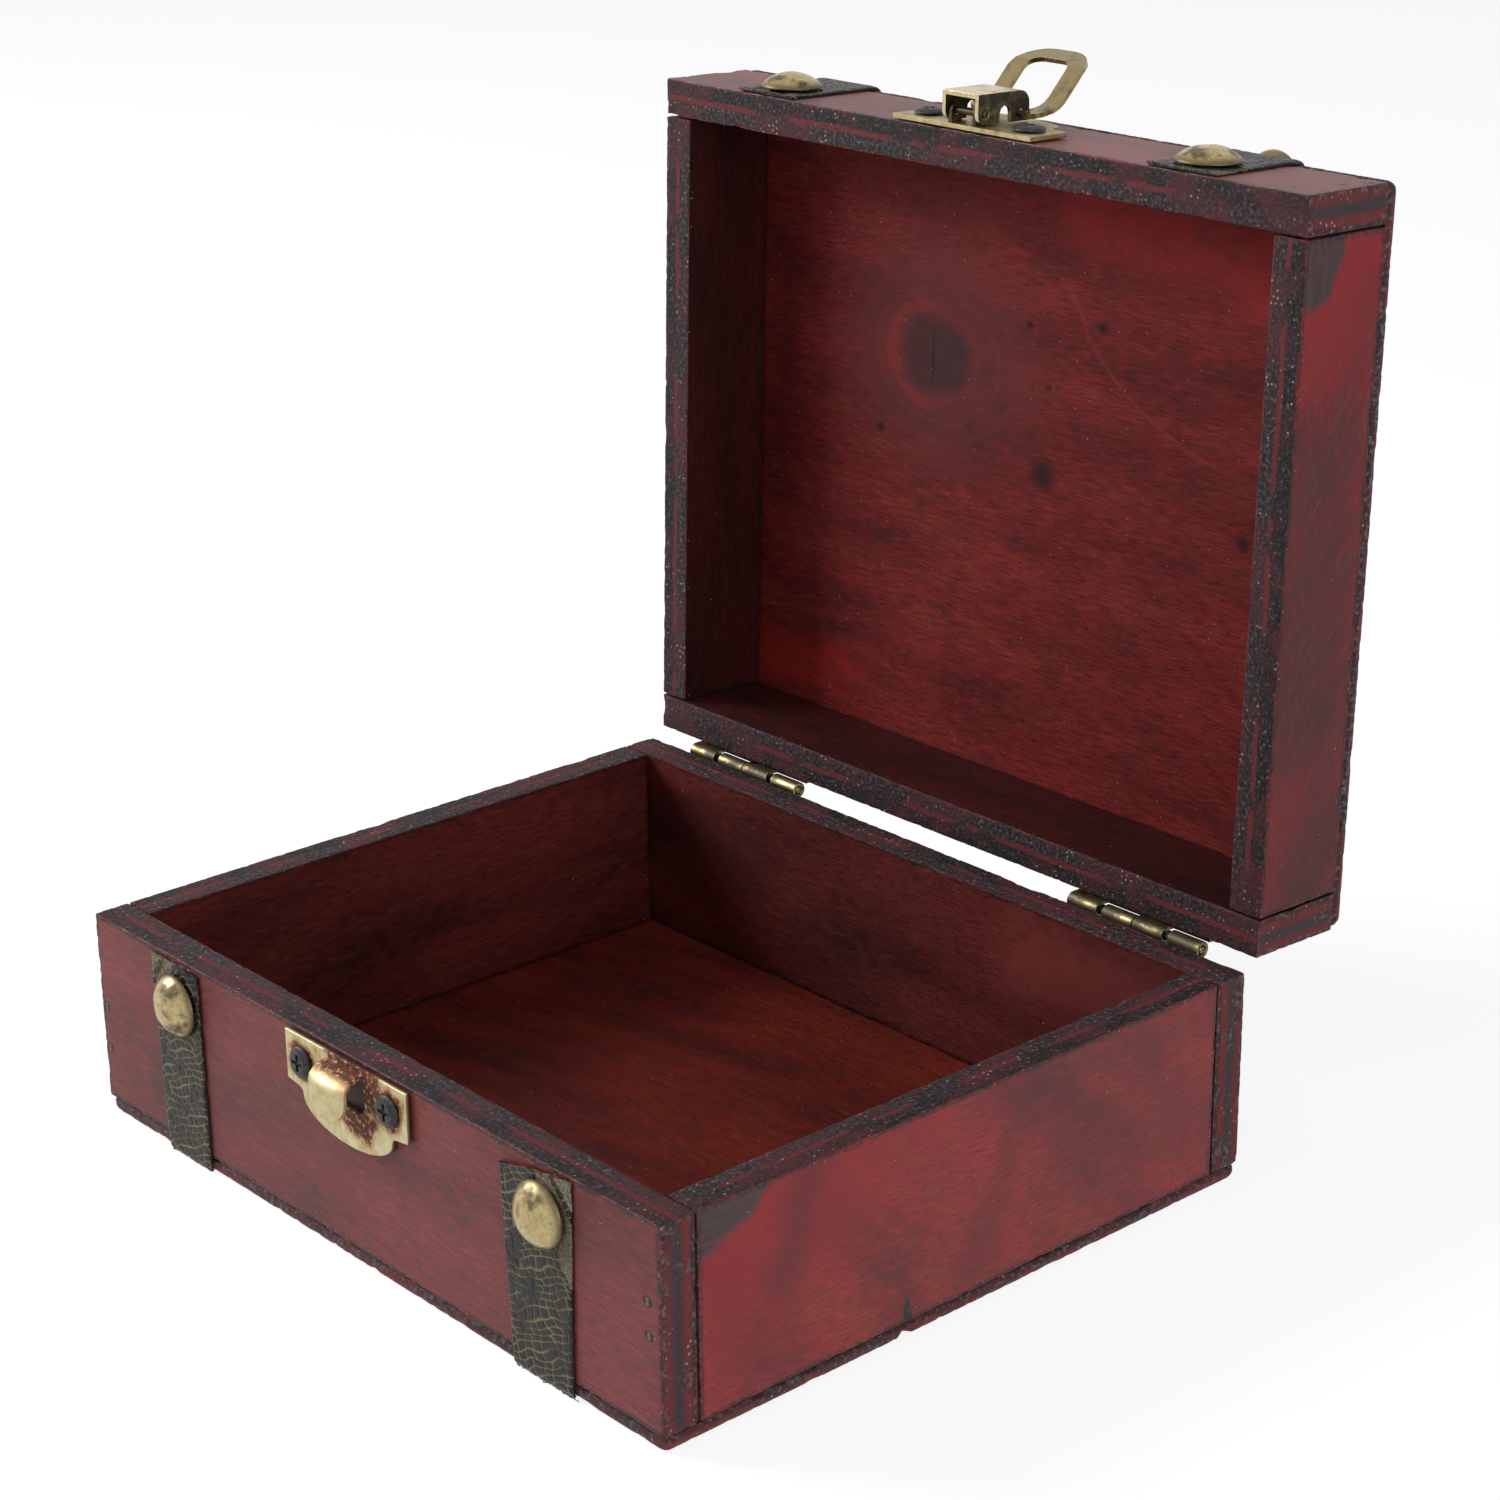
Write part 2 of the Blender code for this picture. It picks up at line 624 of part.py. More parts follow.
def loop_outline():
    """Outer edge from the right heel round the tip to the left heel, then the opening back down."""
    inner = LOOP_OPENING / 2
    outer = inner + LOOP_BAND
    heel = LEVER_WIDTH / 2 + TURN_GAP
    shoulder = LOOP_LENGTH - LOOP_TIP_ROUND
    throat = LOOP_LENGTH - LOOP_TIP_BAND - LOOP_INNER_ROUND
    right = [(heel, -LOOP_HEEL)]
    right += arc((outer - LOOP_HEEL_ROUND, LOOP_HEEL_ROUND - LOOP_HEEL), LOOP_HEEL_ROUND, 270, 360)
    right += arc((outer - LOOP_TIP_ROUND, shoulder), LOOP_TIP_ROUND, 0, 90)
    opening = [(heel, LOOP_HEEL), (inner, 2 * LOOP_HEEL)]
    opening += arc((inner - LOOP_INNER_ROUND, throat), LOOP_INNER_ROUND, 0, 90)
    left = [(-across, along) for across, along in reversed(right)]
    mirrored = [(-across, along) for across, along in opening]
    return right + left + mirrored + opening[::-1]


def fold_blank(mesh, folds):
    """Fold a flat blank across its length, from the last fold to the first."""
    work = bmesh.new()
    work.from_mesh(mesh)
    for distance, _ in folds:
        everything = [*work.verts, *work.edges, *work.faces]
        line = (0, distance, 0)
        bmesh.ops.bisect_plane(work, geom=everything, dist=MERGE, plane_co=line, plane_no=(0, 1, 0))
    flat = {vert: vert.co.y for vert in work.verts}
    for distance, turn in reversed(folds):
        line = Vector((0, distance, 0))
        turned = Matrix.Rotation(math.radians(turn), 3, "X")
        for vert, along in flat.items():
            if along > distance + MERGE:
                vert.co = line + turned @ (vert.co - line)
    work.to_mesh(mesh)
    work.free()


def latch_loop(hinge):
    """A stamped loop, folded up past its heel, on two stub pins in the lever's eyes."""
    turn_axis = add_empty("loop_axis", hinge, (0, LOOP_PIVOT_DROP, LOOP_PIVOT_RUN))
    mesh = outline_mesh("latch_loop", loop_outline(), LOOP_SHEET)
    rise = [(LOOP_RISE_RUN + at * LOOP_RISE_STEP, turn) for at, turn in enumerate(LOOP_RISE_TURNS)]
    ease = [(LOOP_EASE_RUN + at * LOOP_EASE_STEP, turn) for at, turn in enumerate(LOOP_EASE_TURNS)]
    fold_blank(mesh, rise + ease)
    lean = (math.pi / 2 + LOOP_LEAN, 0, 0)
    loop = add("latch_loop", mesh, AGED_BRASS, turn_axis, (0, 0, 0), lean)
    inner_end = LEVER_WIDTH / 2 - LEVER_SHEET + PIN_GAP
    outer_end = LOOP_OPENING / 2 + LOOP_PIN_RADIUS
    for side, sign in SIDES.items():
        stub = rod_mesh(f"loop_pin_{side}", LOOP_PIN_RADIUS, outer_end - inner_end, PIN_SEGMENTS)
        spot = (sign * (inner_end + outer_end) / 2, 0, 0)
        combine(loop, add_cutter(f"loop_pin_{side}", stub, turn_axis, spot, ALONG_X), "UNION")


# Hinges

def leaf_mesh():
    """A flat blank with two tabs, rolled up about the X axis into knuckles; the wood lies toward -Y."""
    half = HINGE_LENGTH / 2
    neutral = KNUCKLE_RADIUS - LEAF_SHEET / 2
    tab = neutral * LEAF_ROLL
    foot = -(KNUCKLE_RADIUS + TURN_GAP)
    outline = [
        (-half, -LEAF_HEIGHT), (half, -LEAF_HEIGHT),
        (half, tab), (half - KNUCKLE_LENGTH, tab), (half - KNUCKLE_LENGTH, foot),
        (-TURN_GAP / 2, foot), (-TURN_GAP / 2, tab),
        (-TURN_GAP / 2 - KNUCKLE_LENGTH, tab), (-TURN_GAP / 2 - KNUCKLE_LENGTH, foot), (-half, foot),
    ]
    mesh = outline_mesh("hinge_leaf", outline, LEAF_SHEET)
    work = bmesh.new()
    work.from_mesh(mesh)
    for step in range(ROLL_STEPS):
        everything = [*work.verts, *work.edges, *work.faces]
        level = (0, tab * step / ROLL_STEPS, 0)
        bmesh.ops.bisect_plane(work, geom=everything, dist=MERGE, plane_co=level, plane_no=(0, 1, 0))
    for vert in work.verts:
        x, along, depth = vert.co
        radius = KNUCKLE_RADIUS - LEAF_SHEET / 2 - depth
        angle = max(along, 0) / neutral
        vert.co = (x, -radius * math.cos(angle), radius * math.sin(angle) + min(along, 0))
    bmesh.ops.recalc_face_normals(work, faces=work.faces)
    work.to_mesh(mesh)
    work.free()
    return mesh


def leaf_screws(prefix, parent, x, direction, pieces):
    height = direction * (LEAF_HEIGHT - LEAF_SCREW_INSET)
    reach = BACK + SEAT_GAP + LEAF_SHEET + SEAT_GAP
    base = (0, 0, AXIS_Z) if parent is None else (0, -AXIS_Y, 0)
    for number, sign in enumerate(SIDES.values(), start=1):
        screw(
            f"{prefix}_screw_{number}",
            (LEAF_HEAD_RADIUS, LEAF_HEAD),
            (LEAF_SHANK_RADIUS, LEAF_SHANK),
            (LEAF_CROSS_LENGTH, LEAF_CROSS_WIDTH, LEAF_CROSS_DEPTH),
            parent, (x + sign * LEAF_SCREW_X, base[1] + reach, base[2] + height), FACING_BACK, pieces,
        )


def hinge(side, lid, base_wall, lid_wall):
    x = SIDES[side] * HINGE_X
    base_leaf = add(f"hinge_{side}_base_leaf", leaf_mesh(), AGED_BRASS, None, (x, AXIS_Y, AXIS_Z))
    lid_leaf = add(f"hinge_{side}_lid_leaf", leaf_mesh(), AGED_BRASS, lid, (x, 0, 0), (0, math.pi, 0))
    shade_round(base_leaf)
    shade_round(lid_leaf)
    pin = rod_mesh(f"hinge_{side}_pin", KNUCKLE_RADIUS - LEAF_SHEET - PIN_GAP, HINGE_LENGTH, PIN_SEGMENTS)
    shade_round(add(f"hinge_{side}_pin", pin, AGED_BRASS, None, (x, AXIS_Y, AXIS_Z), ALONG_X))
    leaf_screws(f"hinge_{side}_base", None, x, -1, (base_leaf, base_wall))
    leaf_screws(f"hinge_{side}_lid", lid, x, 1, (lid_leaf, lid_wall))


# Assembly

def build_base():
    floor = panel("base_bottom", -1, None, (0, 0, BOARD / 2))
    walls = tray("base", None, BOARD + GLUE_GAP, BASE_HEIGHT, (0, 0, 0))
    for side, sign in SIDES.items():
        x = sign * STRAP_X
        band = strap(f"base_strap_{side}", base_strap_path(), x, None)
        spot = (x, FRONT - STRAP_FACE - SEAT_GAP, BASE_HEIGHT - BASE_NAIL_DROP)
        nail(f"base_nail_{side}", None, spot, FACING_FRONT, NAIL_SHANK, (band, walls["front"]))
    catch_plate(walls["front"])
    return walls


def build_lid():
    lid = add_empty("lid_axis", None, (0, AXIS_Y, AXIS_Z), (-OPEN_ANGLE, 0, 0))
    top = panel("lid_top_panel", 1, lid, (0, -AXIS_Y, LID_TOP - BOARD / 2 - AXIS_Z))
    walls = tray("lid", lid, LID_TOP - BOARD - GLUE_GAP, LID_RIM, (0, AXIS_Y, AXIS_Z))
    for side, sign in SIDES.items():
        x = sign * STRAP_X
        band = strap(f"lid_strap_{side}", lid_strap_path(), x, lid)
        spot = (x, FRONT - STRAP_FACE - SEAT_GAP - AXIS_Y, LID_RIM + LID_NAIL_RISE - AXIS_Z)
        nail(f"lid_front_nail_{side}", lid, spot, FACING_FRONT, NAIL_SHANK, (band, walls["front"]))
        height = LID_TOP + STRAP_FACE + SEAT_GAP - AXIS_Z
        spot = (x, FRONT + TOP_NAIL_INSET[side] - AXIS_Y, height)
        nail(f"lid_top_nail_{side}", lid, spot, FACING_UP, TACK_SHANK, (band, top))
        spot = (x, BACK - BACK_NAIL_INSET - AXIS_Y, height)
        nail(f"lid_back_nail_{side}", lid, spot, FACING_UP, TACK_SHANK, (band, top))
    lever_axis = latch_lever(lid, latch_plate(lid, walls["front"]))
    latch_loop(lever_axis)
    return lid, walls


def build_chest():
    base_walls = build_base()
    lid, lid_walls = build_lid()
    for side in SIDES:
        hinge(side, lid, base_walls["back"], lid_walls["back"])


build_chest()
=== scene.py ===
# %% [markdown]
# # A small treasure chest of stained plywood
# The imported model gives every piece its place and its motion. This script gives the pieces their surfaces:
# worn boards, crackled straps, dented nails and a rusting brass latch. Everything is in metres and in the
# model's own frame, so nothing has to be fitted by eye.

# %% Load the frame
import functools
import json
import math

import bmesh
import bpy
import numpy as np
from mathutils import Matrix, Vector, noise

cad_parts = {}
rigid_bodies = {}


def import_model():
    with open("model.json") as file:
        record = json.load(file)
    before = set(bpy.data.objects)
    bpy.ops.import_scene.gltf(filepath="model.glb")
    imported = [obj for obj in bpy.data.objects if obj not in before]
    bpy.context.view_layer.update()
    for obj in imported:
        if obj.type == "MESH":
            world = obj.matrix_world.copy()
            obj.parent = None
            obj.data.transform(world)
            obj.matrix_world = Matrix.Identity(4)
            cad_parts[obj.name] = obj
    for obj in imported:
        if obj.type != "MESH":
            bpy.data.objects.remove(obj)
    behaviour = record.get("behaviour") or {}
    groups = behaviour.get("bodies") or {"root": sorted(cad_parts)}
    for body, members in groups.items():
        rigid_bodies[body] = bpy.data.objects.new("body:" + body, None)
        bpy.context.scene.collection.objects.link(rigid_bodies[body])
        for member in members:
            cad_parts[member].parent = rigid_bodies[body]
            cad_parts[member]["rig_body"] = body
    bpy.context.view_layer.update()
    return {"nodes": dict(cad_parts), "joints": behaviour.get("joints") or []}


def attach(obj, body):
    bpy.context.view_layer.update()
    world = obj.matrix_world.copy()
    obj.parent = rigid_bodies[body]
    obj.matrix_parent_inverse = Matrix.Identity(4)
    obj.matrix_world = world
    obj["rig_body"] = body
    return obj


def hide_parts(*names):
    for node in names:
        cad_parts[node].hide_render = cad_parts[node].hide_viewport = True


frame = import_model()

MM = 0.001
NODES = frame["nodes"]

# %% [markdown]
# ## The lid's own position
# The lid stands open in the photograph, turned back on its hinges. Measuring a tilted board is awkward, so
# each lid piece is measured and built as if the lid were shut, and one matrix then swings it open. The
# hinge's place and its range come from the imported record.

# %% Swing between the shut and the open lid
HINGE = next(joint for joint in frame["joints"] if joint["name"] == "lid_hinge")
AXIS = Vector(HINGE["pos_m"])
SWING = math.radians(HINGE["range_deg"][1])
LID_OPEN = Matrix.Translation(AXIS) @ Matrix.Rotation(-SWING, 4, "X") @ Matrix.Translation(-AXIS)
PLACES = {"base": Matrix.Identity(4), "lid": LID_OPEN}


def shut_box(node):
    """Lowest and highest corner of a node with the lid shut."""
    back = PLACES[NODES[node]["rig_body"]].inverted()
    corners = [back @ vert.co for vert in NODES[node].data.vertices]
    return Vector(map(min, zip(*corners))), Vector(map(max, zip(*corners)))


def middle_of(node):
    return sum(shut_box(node), Vector()) / 2


def half_thickness(node, axis):
    low, high = shut_box(node)
    return (high[axis] - low[axis]) / 2


print("lid opens by", HINGE["range_deg"][1], "degrees about", tuple(AXIS))

# %% [markdown]
# ## Camera
# The photograph was taken from the right of the front, a little above the rim. The place, the turn and the
# lens were solved from the box's corners, so the camera can simply be written down.

# %% Camera at the photograph's view
CAMERA_PLACE = (421.724 * MM, -347.736 * MM, 284.003 * MM)
CAMERA_TURN = (69.1866, 0.6655, 48.4313)
CAMERA_LENS = 80.525


def link_piece(name, data, place=Matrix.Identity(4), finishes=()):
    """An object of the scene at its place; a mesh takes its finishes in order."""
    for finish in finishes:
        data.materials.append(finish)
    piece = bpy.data.objects.new(name, data)
    bpy.context.scene.collection.objects.link(piece)
    piece.matrix_world = place
    return piece


camera = link_piece("camera", bpy.data.cameras.new("camera"))
camera.location = CAMERA_PLACE
camera.rotation_euler = [math.radians(turn) for turn in CAMERA_TURN]
camera.data.lens = CAMERA_LENS
bpy.context.scene.camera = camera
bpy.context.scene.view_settings.view_transform = "Standard"
print("camera", tuple(camera.location), "lens", camera.data.lens)

# %% [markdown]
# ## Helpers for every finish
# Colours are written as the hex values that a picture editor shows, and one function turns them into the
# linear values that a shader needs. A second one adds a node, sets it and links it in one call, so that a
# material reads as a list of layers, and a third lays colours over one another like coats of paint.

# %% Colour and node helpers
SOFT = {"interpolation_type": "SMOOTHSTEP"}


def linear(code):
    """Linear colour of an sRGB hex value."""
    shares = [int(code[at:at + 2], 16) / 255 for at in (1, 3, 5)]
    return (*(s / 12.92 if s <= 0.04045 else ((s + 0.055) / 1.055) ** 2.4 for s in shares), 1.0)


def add_node(tree, kind, *inputs, stops=(), out=None, **settings):
    """Add a node, or take a given one, and give an output. A kind may name an operation after a dot.

    Inputs are numbers or outputs in the order of the sockets, or one dictionary; stops fill a ramp.
    """
    name, _, operation = kind.partition(".") if isinstance(kind, str) else (None, None, None)
    item = tree.nodes.new(f"ShaderNode{name}") if name else kind
    if operation:
        item.operation = operation
    for setting, value in settings.items():
        setattr(item, setting, value)
    for at, (place, code) in enumerate(stops):
        ramp = item.color_ramp.elements
        stop = ramp[at] if at < len(ramp) else ramp.new(place)
        stop.position, stop.color = place, linear(code)
    sockets = inputs[0] if inputs and isinstance(inputs[0], dict) else dict(enumerate(inputs))
    for socket, value in sockets.items():
        if isinstance(value, bpy.types.NodeSocket):
            tree.links.new(value, item.inputs[socket])
        else:
            item.inputs[socket].default_value = value
    return item.outputs[out] if out else next((socket for socket in item.outputs if socket.enabled), None)


def coats(put, colour, *layers):
    """Lay colours over one another, each by its share from 0 to 1."""
    for share, over in layers:
        top = linear(over) if isinstance(over, str) else over
        colour = put("Mix", {0: share, 6: colour, 7: top}, data_type="RGBA")
    return colour


def new_finish(name):
    """A function that adds nodes to a new material; it carries the material and the piece's coordinates."""
    finish = bpy.data.materials.new(name)
    finish.use_nodes = True
    put = functools.partial(add_node, finish.node_tree)
    put.finish = finish
    put.where = put("TexCoord", out="Object")
    return put


def surface(put, colour, rough, bump, sockets):
    """Fill the material's shader; bump is a height, its strength and its depth in millimetres."""
    height, strength, depth = bump
    normal = put("Bump", {"Strength": strength, "Distance": depth * MM, "Height": height})
    shader = put.finish.node_tree.nodes["Principled BSDF"]
    put(shader, {"Base Color": colour, "Roughness": rough, "Normal": normal, **sockets})
    return put.finish


print("mid grey is", linear("#808080")[0])

# %% [markdown]
# ## Studio
# The object stands on white paper in a soft box. The paper and the world are plain white to the camera and
# to reflections, which brings the bright surroundings into the brass, and they light the object at a lower
# level. A large lamp from the left, a top light and one low at the right shape the box.

# %% World and floor
WORLD_FILL = 0.15
PAPER_SHADE = 0.3
FLOOR_SIZE = 3.0


def seen_directly(put):
    """1 for what the camera, a reflection or a clear piece shows, 0 for light that bounces."""
    rays = put("LightPath").node.outputs
    mirror = put("Math.MAXIMUM", rays["Is Camera Ray"], rays["Is Glossy Ray"])
    return put("Math.MAXIMUM", mirror, rays["Is Transmission Ray"])


def white_paper():
    """Matt seamless paper: an even white to the eye that still takes the object's shadow."""
    put = new_finish("white_seamless_paper")
    grain = put("TexNoise", {"Vector": put.where, "Scale": 1 / (40 * MM)})
    tone = put("ValToRGB", grain, stops=[(0, "#eeeeec"), (1, "#f4f4f3")])
    shade = put("BsdfDiffuse", (PAPER_SHADE, PAPER_SHADE, PAPER_SHADE, 1))
    seen = put("AddShader", shade, put("Emission", {"Strength": 1 - PAPER_SHADE / 2}))
    mixed = put("MixShader", seen_directly(put), put("BsdfDiffuse", tone), seen)
    put(put.finish.node_tree.nodes["Material Output"], mixed)
    return put.finish


world = bpy.data.worlds.new("soft_box")
world.use_nodes = True
put_world = functools.partial(add_node, world.node_tree)
level = put_world("MapRange", seen_directly(put_world), 0, 1, WORLD_FILL, 1.0)
put_world(world.node_tree.nodes["Background"], (1, 1, 1, 1), level)
bpy.context.scene.world = world

sheet = bpy.data.meshes.new("paper")
work = bmesh.new()
bmesh.ops.create_grid(work, x_segments=8, y_segments=8, size=FLOOR_SIZE)
work.to_mesh(sheet)
work.free()
floor = link_piece("paper", sheet, finishes=[white_paper()])
print("floor at z =", floor.location.z)

# %% [markdown]
# Each lamp is a square that looks at the middle of the chest. It is written down as its place, its size
# and its power.

# %% Lamps
LAMPS = {
    "key": ((-1.0, -0.62, 0.72), 0.58, 15.5),
    "top": ((0.2, -0.3, 1.2), 0.8, 1.4),
    "right": ((1.1, -0.15, 0.24), 0.6, 6.0),
}
AIM = Vector((0, 0, 60 * MM))

for name, (place, size, power) in LAMPS.items():
    lamp = link_piece(f"lamp_{name}", bpy.data.lights.new(f"lamp_{name}", "AREA"))
    lamp.location = place
    lamp.rotation_euler = (AIM - Vector(place)).to_track_quat("-Z", "Y").to_euler()
    lamp.data.size = size
    lamp.data.energy = power
    print(name, "lamp", power, "W")

# %% [markdown]
# ## Red-stained plywood
# The boards are thin rotary-cut plywood under a thin red stain. Stain soaks in unevenly: it clouds along
# the grain, darkens the open pores and leaves the hard grain brighter. Each layer below is one of those,
# drawn by a noise that is stretched along the board's grain, which is the local X of each board. A picture
# of wood would have to be fitted to every board and would repeat, and a noise does neither.

# %% Grain of the face veneer
CLOUD, WARM, MOTTLE = (44, 13), (30, 7), (4, 1.4)
FIBRE, PORE = (3.6, 0.34), (1.9, 0.24)


def stretched(put, length, width, detail=3.0, shift=0.0, lean=0.0):
    """Noise drawn out along the grain: a length and a width in millimetres, and a lean off the grain."""
    along, across = 1 / (length * MM), 1 / (width * MM)
    turned = put("VectorRotate", {"Vector": put.where, "Angle": math.radians(lean)})
    scaled = put("VectorMath.MULTIPLY", turned, (along, across, across))
    moved = put("VectorMath.ADD", scaled, (shift, 3.1 * shift, 1.7 * shift))
    return put("TexNoise", {"Vector": moved, "Scale": 1.0, "Detail": detail})


def veneer(put, tones, shift, lean):
    """Cloudy stain, warm streaks, red flecks, fibres and short dark pores; gives a colour and a height."""
    cloud = stretched(put, *CLOUD, 3.0, shift, lean)
    stain = put("ValToRGB", cloud, stops=zip((0.3, 0.47, 0.64), tones))
    warm = put("MapRange", stretched(put, *WARM, 3.0, shift + 5, lean), 0.48, 0.7, 0, 0.45, **SOFT)
    fleck = put("MapRange", stretched(put, *MOTTLE, 5.0, shift + 2), 0.44, 0.66, 0, 0.4, **SOFT)
    stain = coats(put, stain, (warm, tones[3]), (fleck, tones[2]))
    fibre = stretched(put, *FIBRE, 4.0, shift)
    fine = put("ValToRGB", fibre, stops=[(0.3, "#a09797"), (0.66, "#ffffff")])
    shaded = put("Mix", {0: 0.85, 6: stain, 7: fine}, data_type="RGBA", blend_type="MULTIPLY")
    pore = put("MapRange", stretched(put, *PORE, 2.0, shift), 0.55, 0.68, 0, 0.6, **SOFT)
    return coats(put, shaded, (pore, "#1a0a0a")), put("Math.SUBTRACT", fibre, pore)


print("pores are drawn", *PORE, "mm, three times their real width, so that they show")

# %% [markdown]
# ## Wear on the boards
# The maker rubbed the edges and rolled black paint along them to age the box. Next to each edge the face is
# sooty, the very edge is rubbed back to bright red, and pale dust sits in the grain. The distance to the
# nearest edge, in millimetres, is stored on each board's mesh, so the shader only has to read it.

# %% Soot, rubbed edges and dust
SOOT_REACH = 2.4
DUST_SPACING, GRIT_SPACING = 2.6, 1.1
EDGE_NAME = "edge_distance"


def crumbs(put, spacing, size, keep, strength):
    """Scattered specks: size is a share of the spacing, and keep the part of the spots that carries one."""
    spot = put("TexVoronoi", {"Vector": put.where, "Scale": 1 / (spacing * MM)}).node.outputs
    pick = put("Math.LESS_THAN", put("SeparateColor", spot["Color"]), keep)
    near = put("MapRange", spot["Distance"], size, size * 0.6, 0, strength)
    return put("Math.MULTIPLY", near, pick)


def weathered(put, colour, soot, rubbed):
    """Soot near the edges, the rubbed line on them, grit in the seams and dust all over."""
    edge = put("Attribute", attribute_name=EDGE_NAME, out="Fac")
    smear = put("Math.MULTIPLY_ADD", stretched(put, 7, 2.5, 4.0), 3.0, edge)
    sooted = put("MapRange", smear, SOOT_REACH, 1.2, 0, soot, **SOFT)
    broken = put("MapRange", stretched(put, 5, 5, 2.0, 0.7), 0.42, 0.56, 0, rubbed)
    line = put("MapRange", edge, 0.35, 0.1, 0, broken, **SOFT)
    grit = put("MapRange", stretched(put, 0.8, 0.8, 3.0, 1.9), 0.44, 0.54, 0, soot)
    seam = put("MapRange", edge, 0.9, 0.3, 0, grit, **SOFT)
    pale = put("MapRange", edge, 1.6, 0.4, 0, crumbs(put, GRIT_SPACING, 0.16, 0.4 * rubbed, 0.8))
    dust = crumbs(put, DUST_SPACING, 0.06, 0.5 * rubbed, 0.7)
    layers = (sooted, "#1f191b"), (line, "#7d282a"), (seam, "#0d090a"), (pale, "#a39998"), (dust, "#b9a5a3")
    return coats(put, colour, *layers)


print("soot reaches", SOOT_REACH, "mm from an edge")

# %% [markdown]
# ## Face finishes
# The faces differ by what light and use did to them. The front is dull and brownish, the sides are streaky
# and redder, and the insides keep a deep matt red; the lid's inner walls are darker still, painted shade.
# Satin stain gives the eye a soft grey haze where it mirrors the bright surroundings, so the colour itself
# stays deep. The inside was never rubbed and mirrors less.

# %% One function for every stained face
RUBBED_SATIN, RAW_MATT = (0.5, 0.36), (0.6, 0.12)


def stained_face(name, tones, shift, lean=0.0, gloss=RUBBED_SATIN, soot=0.8, rubbed=0.8, marks=()):
    """Stained plywood face; each mark is a function and the values of what only this board has."""
    put = new_finish(name)
    colour, height = veneer(put, tones, shift, lean)
    for mark, *values in marks:
        colour = mark(put, colour, *values)
    colour = weathered(put, colour, soot, rubbed)
    rough = put("MapRange", height, 0, 1, gloss[0] - 0.05, gloss[0] + 0.15)
    return surface(put, colour, rough, (height, 0.3, 0.12), {"IOR": 1.5, "Specular IOR Level": gloss[1]})


print("roughness and mirror level, rubbed", RUBBED_SATIN, "raw", RAW_MATT)

# %% [markdown]
# ## Marks that only one board has
# The right side has grey scorched corners at the front of the rim and a crack above a chipped edge, the
# front is dark brown behind the catch's window, and the inside of the lid shows a big knot, a few pits drawn
# as painted shade and one bright growth line. They could be painted on a picture, but here each mark is a
# distance from a point on the board, turned into a share, so it stays sharp at any size and is moved by two
# numbers.

# %% Scorch, crack, clouds of stain and painted light, scratches and the dark patch behind the catch
def measured(put, centre, reach):
    """Offset from a centre in multiples of the reach, along and across the board."""
    offset = put("VectorMath.SUBTRACT", put.where, (*centre, 0))
    return put("VectorMath.MULTIPLY", offset, (1 / reach[0], 1 / reach[1], 0))


def scorched_corner(put, colour, corner, reach, power):
    """Grey burn that fills a corner of a board, with bright red beside it; power is how full its curve is."""
    parts = put("SeparateXYZ", put("VectorMath.ABSOLUTE", measured(put, corner, reach))).node.outputs
    along, across = (put("Math.POWER", part, power) for part in parts[:2])
    wobble = put("Math.MULTIPLY_ADD", stretched(put, 6, 3, 3.0, 0.3), 0.7, along)
    field = put("Math.ADD", wobble, across)
    glow = put("MapRange", field, 9.0, 1.4, 0, 0.75, **SOFT)
    burn = put("MapRange", field, 1.5, 1.2, 0, 0.92, **SOFT)
    char = put("ValToRGB", stretched(put, 12, 1, 3.0, 0.8), stops=[(0.3, "#272123"), (0.7, "#3d3537")])
    return coats(put, colour, (glow, "#861a22"), (burn, char))


def crack(put, colour, foot, top, width):
    """A dark split that narrows from its foot to its top."""
    x, y, _ = put("SeparateXYZ", put.where).node.outputs
    bend = put("Math.MULTIPLY_ADD", stretched(put, 1, 1, 4.0), 2.4 * MM, x)
    run = put("MapRange", y, foot[1], top[1], foot[0] + 1.2 * MM, top[0] + 1.2 * MM)
    gap = put("Math.ABSOLUTE", put("Math.SUBTRACT", bend, run))
    taper = put("MapRange", y, foot[1], top[1], width, 0)
    inside = put("Math.SUBTRACT", taper, gap)
    deep = put("MapRange", inside, 0, 0.2 * MM, 0, 0.95)
    dirt = put("MapRange", inside, -1 * MM, 0, 0, put("MapRange", taper, 0, width, 0, 0.8))
    return coats(put, colour, (dirt, "#231517"), (deep, "#080505"))


def stain_and_light_clouds(put, colour, tone, *strokes):
    """Soft clouds of another tone, of stain and of painted light and shade; each stroke has a start, an end,
    a width and a share.
    """
    flat = put("VectorMath.MULTIPLY", put.where, (1, 1, 0))
    cloud = stretched(put, 14, 9, 4.0, 1.4)
    for start, end, width, share in strokes:
        run = Vector((*end, 0)) - Vector((*start, 0))
        offset = put("VectorMath.SUBTRACT", flat, (*start, 0))
        part = put("VectorMath.DOT_PRODUCT", offset, run / run.length_squared, out="Value")
        nearest = put("VectorMath.SCALE", {0: run, "Scale": put("Clamp", part)})
        far = put("VectorMath.DISTANCE", offset, nearest, out="Value")
        ragged = put("Math.MULTIPLY_ADD", cloud, width, far)
        cover = put("MapRange", ragged, 1.6 * width, 0.5 * width, 0, share, **SOFT)
        colour = coats(put, colour, (cover, tone))
    return colour


def scratches(put, colour):
    """Fine pale scratches from handling, all in one slanting direction."""
    fine = put("MapRange", stretched(put, 15, 0.32, 2.0, 3.0, 40), 0.62, 0.74, 0, 0.4)
    return coats(put, colour, (fine, "#7d585b"))


def dark_behind_window(put, colour, centre, reach):
    """Dark brown on the wood behind the punched window of the catch."""
    far = put("VectorMath.LENGTH", measured(put, centre, reach), out="Value")
    ragged = put("Math.MULTIPLY_ADD", stretched(put, 2, 2), 0.5, far)
    return coats(put, colour, (put("MapRange", ragged, 1.4, 0.9, 0, 0.95, **SOFT), "#2a120a"))


